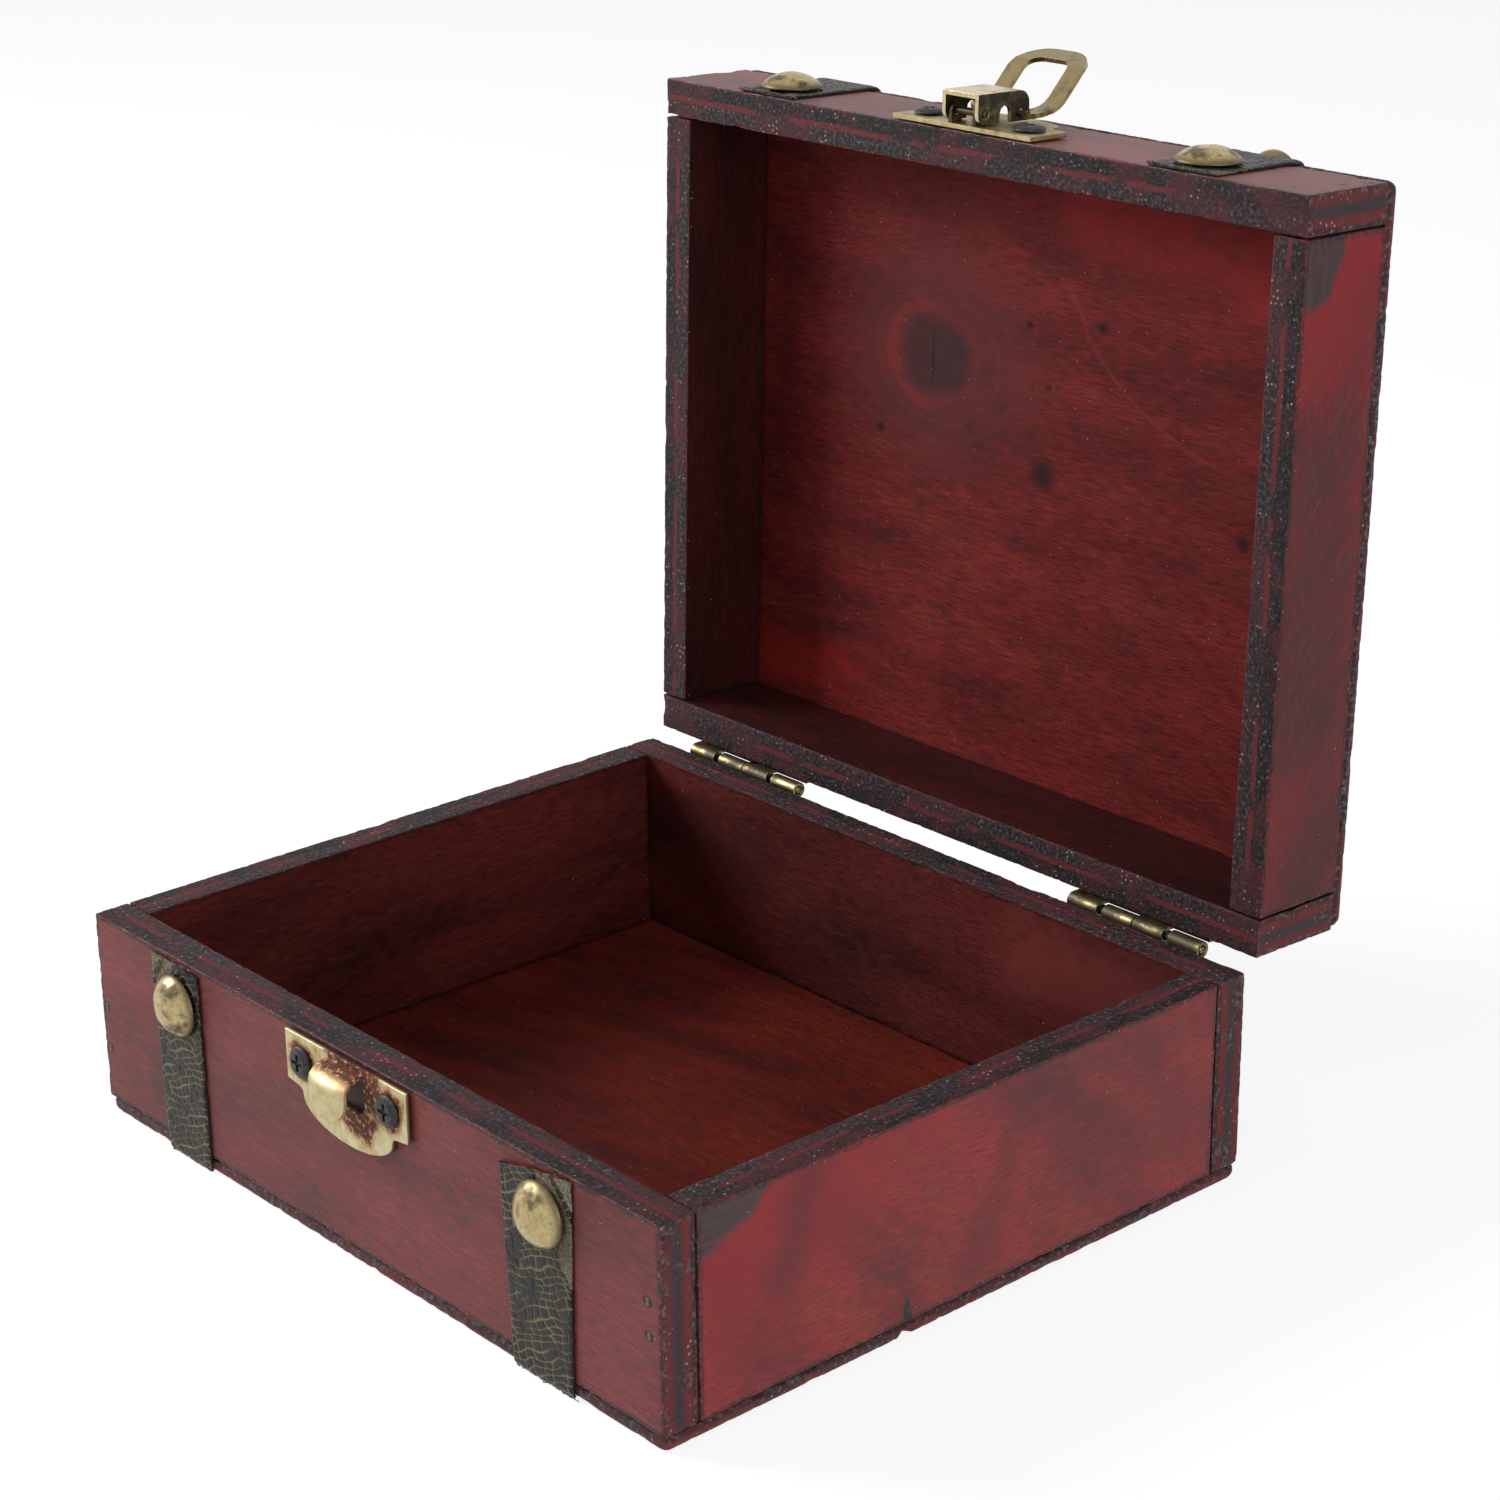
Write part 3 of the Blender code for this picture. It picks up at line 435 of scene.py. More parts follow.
print("marks for the outer faces ready")

# %% [markdown]
# The knot's heart is a distance that the grain bends, so its rings, its bright crescent and its dark middle
# are ranges of one number. The growth line is made of two arcs of circles.

# %% Knot, pits and growth line
KNOT = ((-24 * MM, -18.7 * MM), (10 * MM, 8 * MM))
# Pits on the lid panel, drawn as painted shade of holes.
PITS = {
    (4.7 * MM, -1 * MM): 3.2 * MM, (53.9 * MM, 1.3 * MM): 1.6 * MM, (18.1 * MM, -31.4 * MM): 1.4 * MM,
    (0, -28.8 * MM): 0.8 * MM, (5.4 * MM, -18 * MM): 0.7 * MM, (-39 * MM, -2 * MM): 1.1 * MM,
}
LINE_ARCS = {
    ((-3 * MM, -23.5 * MM), 18.4 * MM): ((-12 * MM, 16 * MM), (-50 * MM, -27.5 * MM)),
    ((56 * MM, -66 * MM), 55.5 * MM): ((12 * MM, 54 * MM), (-31 * MM, 0)),
}


def ring_distance(put, centre, reach, bend):
    """Distance from a knot's heart, 1 at its rim, bent by the grain."""
    far = put("VectorMath.LENGTH", measured(put, centre, reach), out="Value")
    return put("Math.MULTIPLY_ADD", stretched(put, 9, 6, 2.0, 0.9), bend, far)


def growth_line(put, circle, span):
    """Share of one thin line on a circle, kept within a span along and across the board."""
    far = put("VectorMath.LENGTH", measured(put, circle[0], (1, 1)), out="Value")
    gap = put("Math.ABSOLUTE", put("Math.SUBTRACT", far, circle[1]))
    share = put("MapRange", gap, 0.7 * MM, 0.15 * MM, 0, 0.25, **SOFT)
    for part, (start, end) in zip(put("SeparateXYZ", put.where).node.outputs, span):
        for low, high in ((start, start + 4 * MM), (end, end - 1.5 * MM)):
            share = put("MapRange", part, low, high, 0, share, **SOFT)
    return share


def knot_marks(put, colour):
    """The lid's knot: a grey-brown heart with a bright crescent and a split, and a growth line."""
    far = ring_distance(put, *KNOT, 0.2)
    x = put("SeparateXYZ", put.where, out="X")
    middle = KNOT[0][0]
    halo = put("MapRange", far, 4.0, 1.25, 0, 0.78, **SOFT)
    wave = put("Math.SINE", put("Math.MULTIPLY", far, 12.0))
    rings = put("MapRange", far, 3.2, 1.5, 0, put("MapRange", wave, 0.3, 1.0, 0, 0.13), **SOFT)
    left = put("MapRange", x, middle + 4 * MM, middle - 6 * MM, 0, 0.42, **SOFT)
    inner = put("MapRange", far, 1.12, 1.34, 0, left, **SOFT)
    crescent = put("MapRange", far, 1.62, 1.36, 0, inner, **SOFT)
    heart = put("MapRange", far, 1.22, 0.75, 0, 0.85, **SOFT)
    off = put("Math.ABSOLUTE", put("Math.SUBTRACT", x, middle - 1 * MM))
    near = put("MapRange", far, 0.95, 0.45, 0, 0.8)
    split = put("MapRange", off, 0.35 * MM, 0.1 * MM, 0, near)
    layers = [(halo, "#5a292b"), (rings, "#8a3430"), (crescent, "#8f302c")]
    layers += [(heart, "#3d2526"), (split, "#160a09")]
    layers += [(growth_line(put, circle, span), "#963636") for circle, span in LINE_ARCS.items()]
    return coats(put, colour, *layers)


def painted_pit_shade(put, colour, spots, rim, heart):
    """Painted shade of holes that the mesh doesn't cut, faded out from heart to rim; spots gives the radius
    of each by its place.
    """
    for spot, size in spots.items():
        pit = ring_distance(put, spot, (size, size * 0.8), 0.5)
        colour = coats(put, colour, (put("MapRange", pit, rim, heart, 0, 0.88, **SOFT), "#150808"))
    return colour


print(len(PITS), "pits and one knot on the lid")

# %% [markdown]
# ## Where a mark lies on a board
# Each board has its own frame: X along its length and grain, Y up the board and Z out of the box. A place
# on the shut box turns into a place on a board by measuring from the board's middle along those axes.

# %% Frames of the boards
FACINGS = {
    "front": ((1, 0, 0), (0, 0, 1)), "back": ((-1, 0, 0), (0, 0, 1)),
    "right": ((0, 1, 0), (0, 0, 1)), "left": ((0, -1, 0), (0, 0, 1)),
    "bottom": ((1, 0, 0), (0, -1, 0)), "top": ((1, 0, 0), (0, 1, 0)),
}
BRADS = {
    "base_front_wall": ((76.7, 25.9), (76.9, 20.0), (-78.3, 21.9), (-78.4, 13.5)),
    "lid_front_wall": ((76.1, 53.5), (77.9, 58.0)),
}
BRAD_WIDTH, BRAD_HEIGHT = 0.9 * MM, 1.5 * MM


def on_board(node, facing, spot):
    """Place along and up a board of a spot on the shut box."""
    offset = Vector(spot) - middle_of(node)
    return tuple(offset.dot(Vector(axis)) for axis in FACINGS[facing])


def brad_spots(node):
    return [on_board(node, "front", (x * MM, 0, z * MM)) for x, z in BRADS[node]]


print("brads:", {node: len(spots) for node, spots in BRADS.items()})

# %% [markdown]
# Every face has four tones, from dark to bright and one warm. The clouds of the right walls are darker stain,
# written down by depth and height on the shut box. Those of the inner faces are written from the middle of
# their board and are mostly painted light and shade: a painted shadow at the left of the back wall and of
# the lid panel, a painted sheen at the right of the back wall, painted light at the upper right of the lid
# panel, and one brighter stain at its lower left.

# %% Tones and clouds
FRONT_TONES = ("#552626", "#772f2e", "#8c3b3c", "#823e30")
SIDE_TONES = ("#6d292b", "#8a2f31", "#a03537", "#96442c")
LID_SIDE_TONES = ("#44191d", "#691f24", "#8c2028", "#6a2924")
INSIDE_TONES = ("#3c1715", "#59211e", "#6e2b26", "#63291e")
# The lid's inner walls take darker copies of the inside tones: painted shade.
SHADED_LID_INSIDE_TONES = ("#260c0b", "#381210", "#471713", "#3e1811")
FLOOR_TONES = ("#43120e", "#651d15", "#7a2619", "#802f19")
LID_TONES = ("#601b1a", "#782322", "#8a2d2b", "#833526")
SMOKE_TONE = "#3a1a1e"
SMOKE = {
    "base_right_wall": (
        ((-34, 42), (-42, 22), 7, 0.5), ((13, 34), (-2, 4), 7, 0.35), ((26, 22), (62, 15), 14, 0.4),
        ((2, 37), (60, 36), 9, 0.35),
    ),
    "lid_right_wall": (((-18, 52), (62, 52), 14, 0.5), ((-46, 43), (-40, 45), 3, 0.7)),
}
# Painted light and shade on the inner faces, and one brighter stain on the lid panel.
INSIDE_LIGHT_AND_STAIN = {
    "base_back_wall": {
        "#1c0a0a": ((74, 4), (44, 0), 15, 0.55), "#863e3b": ((-78, 10), (-34, 8), 13, 0.5),
    },
    "lid_top_panel": {
        "#b43433": ((14, -54), (64, -46), 12, 0.5), "#a82920": ((-70, 52), (-48, 50), 8, 0.5),
        "#240a09": ((-66, -34), (-67, 16), 9, 0.45),
    },
}


def smoked(node):
    """The mark for the dark clouds of a right wall."""
    strokes = []
    for *ends, width, share in SMOKE[node]:
        spots = (on_board(node, "right", (0, y * MM, z * MM)) for y, z in ends)
        strokes.append((*spots, width * MM, share))
    return stain_and_light_clouds, SMOKE_TONE, *strokes


def inside_light_and_stain(node):
    """The marks for the clouds on a board's inner face: painted shadow and painted light, and on the lid
    panel one brighter stain.
    """
    for tone, (*ends, width, share) in INSIDE_LIGHT_AND_STAIN[node].items():
        spots = (tuple(part * MM for part in spot) for spot in ends)
        yield stain_and_light_clouds, tone, (*spots, width * MM, share)


print("clouds on", *SMOKE, *INSIDE_LIGHT_AND_STAIN)

# %% [markdown]
# A mark is a function and its values, so the boards can be listed in one table: tones, a number that shifts
# the noise, the lean of the grain and the marks.

# %% Face finishes of the box
CATCH_HIGH = shut_box("catch_plate")[1]
WINDOW = (0, 0, CATCH_HIGH.z - 5.4 * MM)
RIGHT_FRONT = shut_box("base_right_wall")[0].y
CRACK_FOOT, CRACK_TOP = (0, -14.7 * MM, 3 * MM), (0, -15.4 * MM, 9.6 * MM)
NOISE_SHIFT = 3.7


def burn(node, z, reach, power):
    return scorched_corner, on_board(node, "right", (0, RIGHT_FRONT, z)), reach, power


# A brad sits in a dark pit drawn on the face: painted shade of a hole that the board's mesh doesn't have.
def brad_marks(node):
    return painted_pit_shade, {spot: 1.2 * MM for spot in brad_spots(node)}, 1.4, 1.1


def right_marks(node):
    low, high = shut_box(node)
    if node == "lid_right_wall":
        return smoked(node), burn(node, low.z, (12.5 * MM, 10.5 * MM), 2.0), (scratches,)
    ends = (on_board(node, "right", spot) for spot in (CRACK_FOOT, CRACK_TOP))
    return burn(node, high.z, (15 * MM, 8.6 * MM), 1.4), smoked(node), (crack, *ends, 1 * MM)


# The front is dark brown behind the window of the catch.
stain = dark_behind_window, on_board("base_front_wall", "front", WINDOW), (7 * MM, 4.5 * MM)
OUTSIDE = {
    "base_front_wall": (FRONT_TONES, 0, 0, (stain, brad_marks("base_front_wall"))),
    "lid_front_wall": (FRONT_TONES, 1, 0, (brad_marks("lid_front_wall"),)),
    "base_right_wall": (SIDE_TONES, 2, 50, right_marks("base_right_wall")),
    "lid_right_wall": (LID_SIDE_TONES, 3, 50, right_marks("lid_right_wall")),
    "base_left_wall": (SIDE_TONES, 4, 40, ()),
    "lid_left_wall": (LID_SIDE_TONES, 5, 40, ((scratches,),)),
    "base_back_wall": (FRONT_TONES, 6, 0, ()),
    "lid_back_wall": (FRONT_TONES, 7, 0, ()),
    "base_bottom": (FRONT_TONES, 8, 0, ()),
    "lid_top_panel": (LID_TONES, 9, 0, ((scratches,),)),
}
GLOSS = {"lid_front_wall": (0.46, 0.5), "lid_right_wall": (0.5, 0.27)}
OUTER = {}
for node, (tones, number, lean, marks) in OUTSIDE.items():
    gloss = GLOSS.get(node, RUBBED_SATIN)
    OUTER[node] = stained_face(f"red_stained_{node}", tones, NOISE_SHIFT * number, lean, gloss, marks=marks)

panel_marks = (*inside_light_and_stain("lid_top_panel"), (knot_marks,), (painted_pit_shade, PITS, 1.9, 0.4))
# The lid's inner walls take the darker tones, painted shade; the back wall and the lid panel also take
# painted light and shade clouds.
INSIDE = {
    "base": ("inside", INSIDE_TONES, 6.0, 0, ()),
    "lid": ("lid_inside", SHADED_LID_INSIDE_TONES, 7.0, 0, ()),
    "base_bottom": ("floor", FLOOR_TONES, 8.0, 14, ()),
    "lid_top_panel": ("knotted", LID_TONES, 12.0, 0, panel_marks),
    "base_back_wall": ("back_inside", INSIDE_TONES, 6.0, 0, inside_light_and_stain("base_back_wall")),
}
INNER = {}
for node, (name, tones, shift, lean, marks) in INSIDE.items():
    INNER[node] = stained_face(f"red_stained_{name}", tones, shift, lean, RAW_MATT, 0.5, 0.12, marks)
print(len(OUTER), "outer and", len(INNER), "inner face finishes")

# %% [markdown]
# ## Blackened edges
# A sawn plywood edge drinks paint. The rims were rolled black, so they are dark and rough, greyer toward
# the inside, and only the middle ply and the very corners show red. The ends of the front and back boards
# were stained and not painted, and their three plies show as soft stripes. The plies could be three sheets,
# but the place through the board already tells the shader which ply it is in.

# %% Painted rims and striped ends
CRUMB_SPACING = 1.3


def ply_level(put, half, wander):
    """Place through the plies, from 0 inside to 1 outside, wandering a little."""
    depth = put("SeparateXYZ", put.where, out="Z")
    moved = put("Math.MULTIPLY_ADD", stretched(put, 5, 5, 4.0, 1.1), wander, depth)
    return put("MapRange", moved, wander / 2 - half, wander / 2 + half)


def edge_surface(put, colour, char, roughness, keep):
    """The broken red line on the very edge, a few pale crumbs and the rough surface."""
    edge = put("Attribute", attribute_name=EDGE_NAME, out="Fac")
    broken = put("MapRange", stretched(put, 8, 8, 3.0, 2.1), 0.5, 0.58, 0, 0.7)
    line = put("MapRange", edge, 0.3, 0.05, 0, broken, **SOFT)
    heap = put("MapRange", stretched(put, 7, 7, 4.0, 4.2), 0.46, 0.6, 0.1, 0.9)
    specks = crumbs(put, CRUMB_SPACING, 0.2, keep, heap)
    colour = coats(put, colour, (line, "#74272a"), (specks, "#a39998"))
    return surface(put, colour, roughness, (char, 0.8, 0.3), {"IOR": 1.5, "Specular IOR Level": 0.27})


def painted_rim(name, half):
    """Black paint rolled on sawn plywood, with the middle ply showing in dashes."""
    put = new_finish(name)
    level = ply_level(put, half, 0.9 * MM)
    char = stretched(put, 0.8, 0.7, 5.0, 0.5)
    black_stops = [(0.4, "#040303"), (0.5, "#170f11"), (0.6, "#34292b"), (0.72, "#6a5d5f")]
    grey_stops = [(0.36, "#0d0809"), (0.5, "#2b2224"), (0.6, "#45383a"), (0.72, "#706466")]
    black, grey = (put("ValToRGB", char, stops=stops) for stops in (black_stops, grey_stops))
    inside = put("MapRange", level, 0.6, 0.4, 0, 0.85, **SOFT)
    thin = put("MapRange", stretched(put, 9, 9, 4.0, 2.7), 0.46, 0.64, 0, 0.7)
    dash = put("MapRange", stretched(put, 15, 15, 3.0, 1.3), 0.47, 0.53, 0, 0.85)
    off = put("Math.ABSOLUTE", put("Math.SUBTRACT", level, 0.5))
    middle = put("MapRange", off, 0.1, 0.05, 0, dash, **SOFT)
    colour = coats(put, black, (inside, grey), (thin, "#4a2226"), (middle, "#66262a"))
    return edge_surface(put, colour, char, 0.75, 0.7)


def striped_end(name, half, stripes, dirt):
    """Stained end grain with its plies as stripes, and dirt on a share of it."""
    put = new_finish(name)
    plies = put("ValToRGB", ply_level(put, half, 0.7 * MM), stops=stripes)
    char = stretched(put, 0.9, 0.9, 5.0, 0.5)
    soot = put("ValToRGB", char, stops=[(0.38, "#0d0a0b"), (0.5, "#2c2426"), (0.66, "#6c6264")])
    patch = put("MapRange", stretched(put, 6, 6, 4.0, 1.9), 0.48, 0.66, 0, dirt, **SOFT)
    edge = put("Attribute", attribute_name=EDGE_NAME, out="Fac")
    rim = put("MapRange", edge, 1.0, 0.2, 0, put("MapRange", char, 0.34, 0.5, 0, dirt), **SOFT)
    return edge_surface(put, coats(put, plies, (patch, soot), (rim, soot)), char, 0.68, 0.5)


WALL_STRIPES = [
    (0.02, "#1a1213"), (0.12, "#3c1c1e"), (0.2, "#6a2628"), (0.36, "#5e2427"), (0.46, "#33272a"),
    (0.64, "#382a2d"), (0.74, "#5c2427"), (1, "#662628"),
]
BOTTOM_STRIPES = [(0, "#241618"), (0.25, "#532427"), (0.65, "#5e282a"), (1, "#422327")]
LID_STRIPES = [(0, "#241819"), (0.25, "#552224"), (0.5, "#3a2427"), (0.8, "#241b1d"), (1, "#2c2426")]
WALL_HALF = half_thickness("base_front_wall", 1)
RIM = painted_rim("black_rolled_plywood_rim", WALL_HALF)
WALL_END = striped_end("striped_plywood_end", WALL_HALF, WALL_STRIPES, 0.8)
PANEL_EDGES = {
    "base_bottom": striped_end("stained_bottom_edge", half_thickness("base_bottom", 2), BOTTOM_STRIPES, 0.6),
    "lid_top_panel": striped_end("sooty_lid_edge", half_thickness("lid_top_panel", 2), LID_STRIPES, 0.85),
}
print("edge finishes:", RIM.name, WALL_END.name, *(finish.name for finish in PANEL_EDGES.values()))

# %% [markdown]
# ## Worn boards
# A plain box has edges that are far too clean. Each board is built as a band of small faces swept round its
# outline, from the border of one face, over the edge, to the border of the other, and the two flat faces
# close it. The band is fine enough to carry real nicks, while the flat faces cost nothing.

# %% Band round a board
STEP = 0.6 * MM
SEED_SHIFT = 0.31
BORDER = np.array([2.6, 2.0, 1.5, 1.1, 0.75, 0.45, 0.2]) * MM


def band_points(half):
    """Points by rows from the inner face to the outer one, the side of each, and the insets of the rows."""
    counts = [max(2, round(2 * size / STEP)) for size in half[:2]]
    along, up = (np.linspace(-1, 1, count, endpoint=False) for count in counts)
    lines = (along, -1), (1, up), (-along, 1), (-1, -up)
    outline = np.concatenate([np.column_stack(np.broadcast_arrays(*line)) for line in lines])
    thick = np.linspace(-half[2], half[2], round(2 * half[2] / STEP) + 1)
    inset = np.concatenate([BORDER, np.zeros(len(thick)), BORDER[::-1]])
    points = np.empty((len(outline), len(inset), 3))
    points[:, :, :2] = outline[:, None, :] * (half[:2] - inset[:, None])
    points[:, :, 2] = np.pad(thick, len(BORDER), "edge")
    return points, np.repeat([0, 1, 2, 3], counts * 2), inset


def rounded(points, half, low, high):
    """Pull the points onto a box with rounded edges; low and high are the radii on each side of an axis."""
    core = np.clip(points, -half + low, half - high)
    reach = points - core
    radius = np.where(reach < 0, low, high)
    share = reach / radius
    share /= np.linalg.norm(share, axis=2, keepdims=True)
    return core + share * radius, share


print("band step", STEP / MM, "mm")

# %% [markdown]
# The nicks come from noise: a slow one decides where the edge was knocked, a quick one tears the fibres,
# and both fade away from the edge, so the flat faces stay flat. Wood is only ever taken away. The bottom
# board also lost a chip at its right edge, below the crack.

# %% Nicks, torn fibres and the chip
KNOCK, TEAR, ROUGH = (0.7 * MM, 6 * MM, 0.3), (0.3 * MM, 1.3 * MM, 0.1), (0.1 * MM, 0.8 * MM)
EDGE_FADE = 0.8 * MM
CHIP_WIDTH, CHIP_DEPTH, CHIP_RISE = 1.6 * MM, 2.4 * MM, 1.7 * MM


def edge_gap(points, sides, inset, half, radius):
    """Distance of each point from the nearest worn edge."""
    x, y, z = np.moveaxis(points, 2, 0)
    across = np.minimum(half[2] - z - radius[1], half[2] + z - radius[0])
    corner = np.where(sides[:, None] % 2 == 1, half[1] - abs(y), half[0] - abs(x))
    return np.clip(np.where(inset > 0, inset - radius[2], np.minimum(across, corner)), 0, None)


def worn_depth(spots, gap, sawn):
    """How deep each point is worn; sawn points lie on the narrow faces."""
    depth = np.empty(len(spots))
    for at, (spot, far, rough_saw) in enumerate(zip(spots, gap, sawn)):
        nicks = (deep * max(0.0, noise.noise(spot / size) - least) for deep, size, least in (KNOCK, TEAR))
        rough = ROUGH[0] * (0.5 + 0.5 * noise.noise(spot / ROUGH[1]))
        depth[at] = math.exp(-(far / EDGE_FADE) ** 2) * sum(nicks) + rough_saw * rough
    return depth


def knock_chip(points, half, place):
    """Push the lower arris of the board's end in and up round a place on it."""
    share = np.clip(1 - abs(points[:, :, 1] - place) / CHIP_WIDTH, 0, 1)
    share *= np.clip((points[:, :, 0] - half[0]) / CHIP_DEPTH + 1, 0, 1)
    points[:, :, 2] -= share * CHIP_RISE * np.clip(points[:, :, 2] / half[2], 0, 1)
    points[:, :, 0] -= share * CHIP_DEPTH * np.clip(points[:, :, 2] / half[2] + 0.6, 0, 1)


print("knocks up to", KNOCK[0] / MM, "mm deep")

# %% [markdown]
# The points are joined into one closed mesh. Each face gets the number of its finish, and each point keeps
# its distance from the edge for the shader.

# %% Board from its parts
OUTER_FACE, INNER_FACE, RIM_FACE, END_FACE = range(4)


def soft_shading(mesh, sharp):
    mesh.shade_smooth()
    mesh.set_sharp_from_angle(angle=math.radians(sharp))
    return mesh


def mesh_from(work, name, sharp):
    """The mesh of a finished bmesh, smooth up to an angle."""
    mesh = bpy.data.meshes.new(name)
    work.to_mesh(mesh)
    work.free()
    return soft_shading(mesh, sharp)


def closed_mesh(name, points, faces, layers):
    """A mesh whose faces all point outwards; layers are named values on its points."""
    mesh = bpy.data.meshes.new(name)
    mesh.from_pydata(points, [], faces)
    work = bmesh.new()
    work.from_mesh(mesh)
    bmesh.ops.recalc_face_normals(work, faces=work.faces)
    work.to_mesh(mesh)
    work.free()
    for layer, values in layers.items():
        store = mesh.attributes.new(layer, "FLOAT", "POINT")
        store.data.foreach_set("value", np.asarray(values, dtype=np.float32))
    return mesh


def grid_quads(*corners):
    """Faces of a grid from the numbers of their first, second, third and fourth corners."""
    return np.stack(corners, axis=2).reshape(-1, 4).tolist()


def board_mesh(name, half, low, high, rim, seed, chip):
    """Band and two faces as one closed mesh, with a finish number on each face."""
    flat, sides, inset = band_points(half)
    points, outward = rounded(flat, half, low, high)
    gap = edge_gap(flat, sides, inset, half, (low[2], high[2], max(low[0], high[0])))
    sawn = np.broadcast_to(inset == 0, gap.shape)
    spots = [Vector(spot) for spot in (points + seed * SEED_SHIFT).reshape(-1, 3)]
    depth = worn_depth(spots, gap.ravel(), sawn.ravel()).reshape(gap.shape)
    points = points - outward * depth[:, :, None]
    if chip is not None:
        knock_chip(points, half, chip)
    rows = len(inset)
    number = np.arange(len(points) * rows).reshape(len(points), rows)
    after = np.roll(number, -1, axis=0)
    quads = grid_quads(number[:, :-1], after[:, :-1], after[:, 1:], number[:, 1:])
    faces = [*quads, number[::-1, 0].tolist(), number[:, -1].tolist()]
    mesh = closed_mesh(name, points.reshape(-1, 3).tolist(), faces, {EDGE_NAME: gap.ravel() / MM})
    at = np.arange(rows - 1)
    sawn_row = np.where(at < rows - len(BORDER) - 1, RIM_FACE, OUTER_FACE)
    row_kind = np.where(at < len(BORDER), INNER_FACE, sawn_row)
    kinds = np.where((row_kind == RIM_FACE) & (sides[:, None] != rim), END_FACE, row_kind)
    finishes = np.concatenate([kinds.ravel(), [INNER_FACE, OUTER_FACE]])
    mesh.polygons.foreach_set("material_index", finishes.astype(np.int32))
    return soft_shading(mesh, sharp=50)


print("finishes on a board: outer, inner, rim and end, in that order")

# %% [markdown]
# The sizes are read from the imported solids, so a worn board fills the space of the plain one that it
# replaces.

# %% Lay the boards
ARRIS, PANEL_ARRIS = 0.25 * MM, 0.12 * MM
ROUND_OVER = 1.8 * MM
RIM_SIDE = {"base": 2, "lid": 0}
NO_RIM = -1
PANEL_SEED = 17


def stand_for(piece, node, slot):
    """The piece takes the place of a CAD node and rides on the node's body."""
    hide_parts(node)
    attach(piece, NODES[node]["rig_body"])
    return piece


def lay_board(node, facing, rim, finishes, seed, outer_round=ARRIS, chip=None):
    """A worn board in place of a CAD board; its rim is the number of the side that was painted."""
    along, up = (Vector(axis) for axis in FACINGS[facing])
    turn = Matrix((along, up, along.cross(up))).transposed()
    low_corner, high_corner = shut_box(node)
    half = np.array([abs(part) / 2 for part in turn.transposed() @ (high_corner - low_corner)])
    low = np.array([outer_round, outer_round, ARRIS if outer_round == ARRIS else PANEL_ARRIS])
    mesh = board_mesh(f"worn_{node}", half, low, np.full(3, outer_round), rim, seed, chip)
    place = PLACES[NODES[node]["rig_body"]] @ Matrix.Translation(middle_of(node)) @ turn.to_4x4()
    return stand_for(link_piece(f"worn_{node}", mesh, place, finishes), node, "stained_plywood")


BOARDS = {}
for tray, rim in RIM_SIDE.items():
    for number, side in enumerate(("front", "back", "left", "right")):
        node = f"{tray}_{side}_wall"
        finishes = (OUTER[node], INNER.get(node, INNER[tray]), RIM, WALL_END)
        BOARDS[node] = lay_board(node, side, rim, finishes, number + 5 * rim)
for node, facing, chip in (("base_bottom", "bottom", CRACK_FOOT), ("lid_top_panel", "top", None)):
    finishes = (OUTER[node], INNER[node], PANEL_EDGES[node], PANEL_EDGES[node])
    spot = chip and on_board(node, facing, chip)[1]
    BOARDS[node] = lay_board(node, facing, NO_RIM, finishes, PANEL_SEED, ROUND_OVER, spot)
print(len(BOARDS), "boards,", sum(len(board.data.polygons) for board in BOARDS.values()), "faces")

# %% [markdown]
# ## Straps of crackled leatherette
# The straps are strips of coated fabric, embossed to look like cracked hide. Each one is a grid that follows
# the strap's path, with a groove wherever two cells of the crackle meet. The grid also stores the distance
# from the nearest crack, so colour and shape agree. Where the coat peeled off, the tan backing lies bare.

# %% Path of a strap
STRAP_STEP = {"base": 0.18 * MM, "lid": 0.36 * MM}
STRAP_LIFT = 0.12 * MM


def arc(centre, radius, start, end, steps=14):
    angles = np.radians(np.linspace(start, end, steps))
    return np.column_stack([centre[0] + radius * np.cos(angles), centre[1] + radius * np.sin(angles)])


def strap_path(node):
    """Even points in the Y and Z of the shut box under a strap, from the rim outwards, and the way out."""
    low, high = shut_box(node)
    tray = NODES[node]["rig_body"]
    panel_low, panel_high = shut_box("base_bottom" if tray == "base" else "lid_top_panel")
    bend = ROUND_OVER + STRAP_LIFT
    front, back = panel_low.y + ROUND_OVER, panel_high.y - ROUND_OVER
    if tray == "base":
        points = np.vstack([[panel_low.y - STRAP_LIFT, high.z], arc((front, ROUND_OVER), bend, 180, 213)])
    else:
        top = panel_high.z - ROUND_OVER
        over = arc((front, top), bend, 180, 90), arc((back, top), bend, 90, 40)
        points = np.vstack([[panel_low.y - STRAP_LIFT, low.z], *over])
    lengths = np.concatenate([[0], np.cumsum(np.linalg.norm(np.diff(points, axis=0), axis=1))])
    steps = np.linspace(0, lengths[-1], round(lengths[-1] / STRAP_STEP[tray]) + 1)
    even = np.column_stack([np.interp(steps, lengths, points[:, axis]) for axis in (0, 1)])
    run = np.gradient(even, axis=0)
    run /= np.linalg.norm(run, axis=1, keepdims=True)
    out = np.column_stack([run[:, 1], -run[:, 0]]) * (1 if tray == "base" else -1)
    return steps, even, out


print("strap grids", {tray: step / MM for tray, step in STRAP_STEP.items()}, "mm")

# %% [markdown]
# Heights over the wood: cells of the crackle stand up, grooves lie between them, the peeled part is lower
# and fibrous, the free ends are crumpled, and the nail presses the strap down round itself.

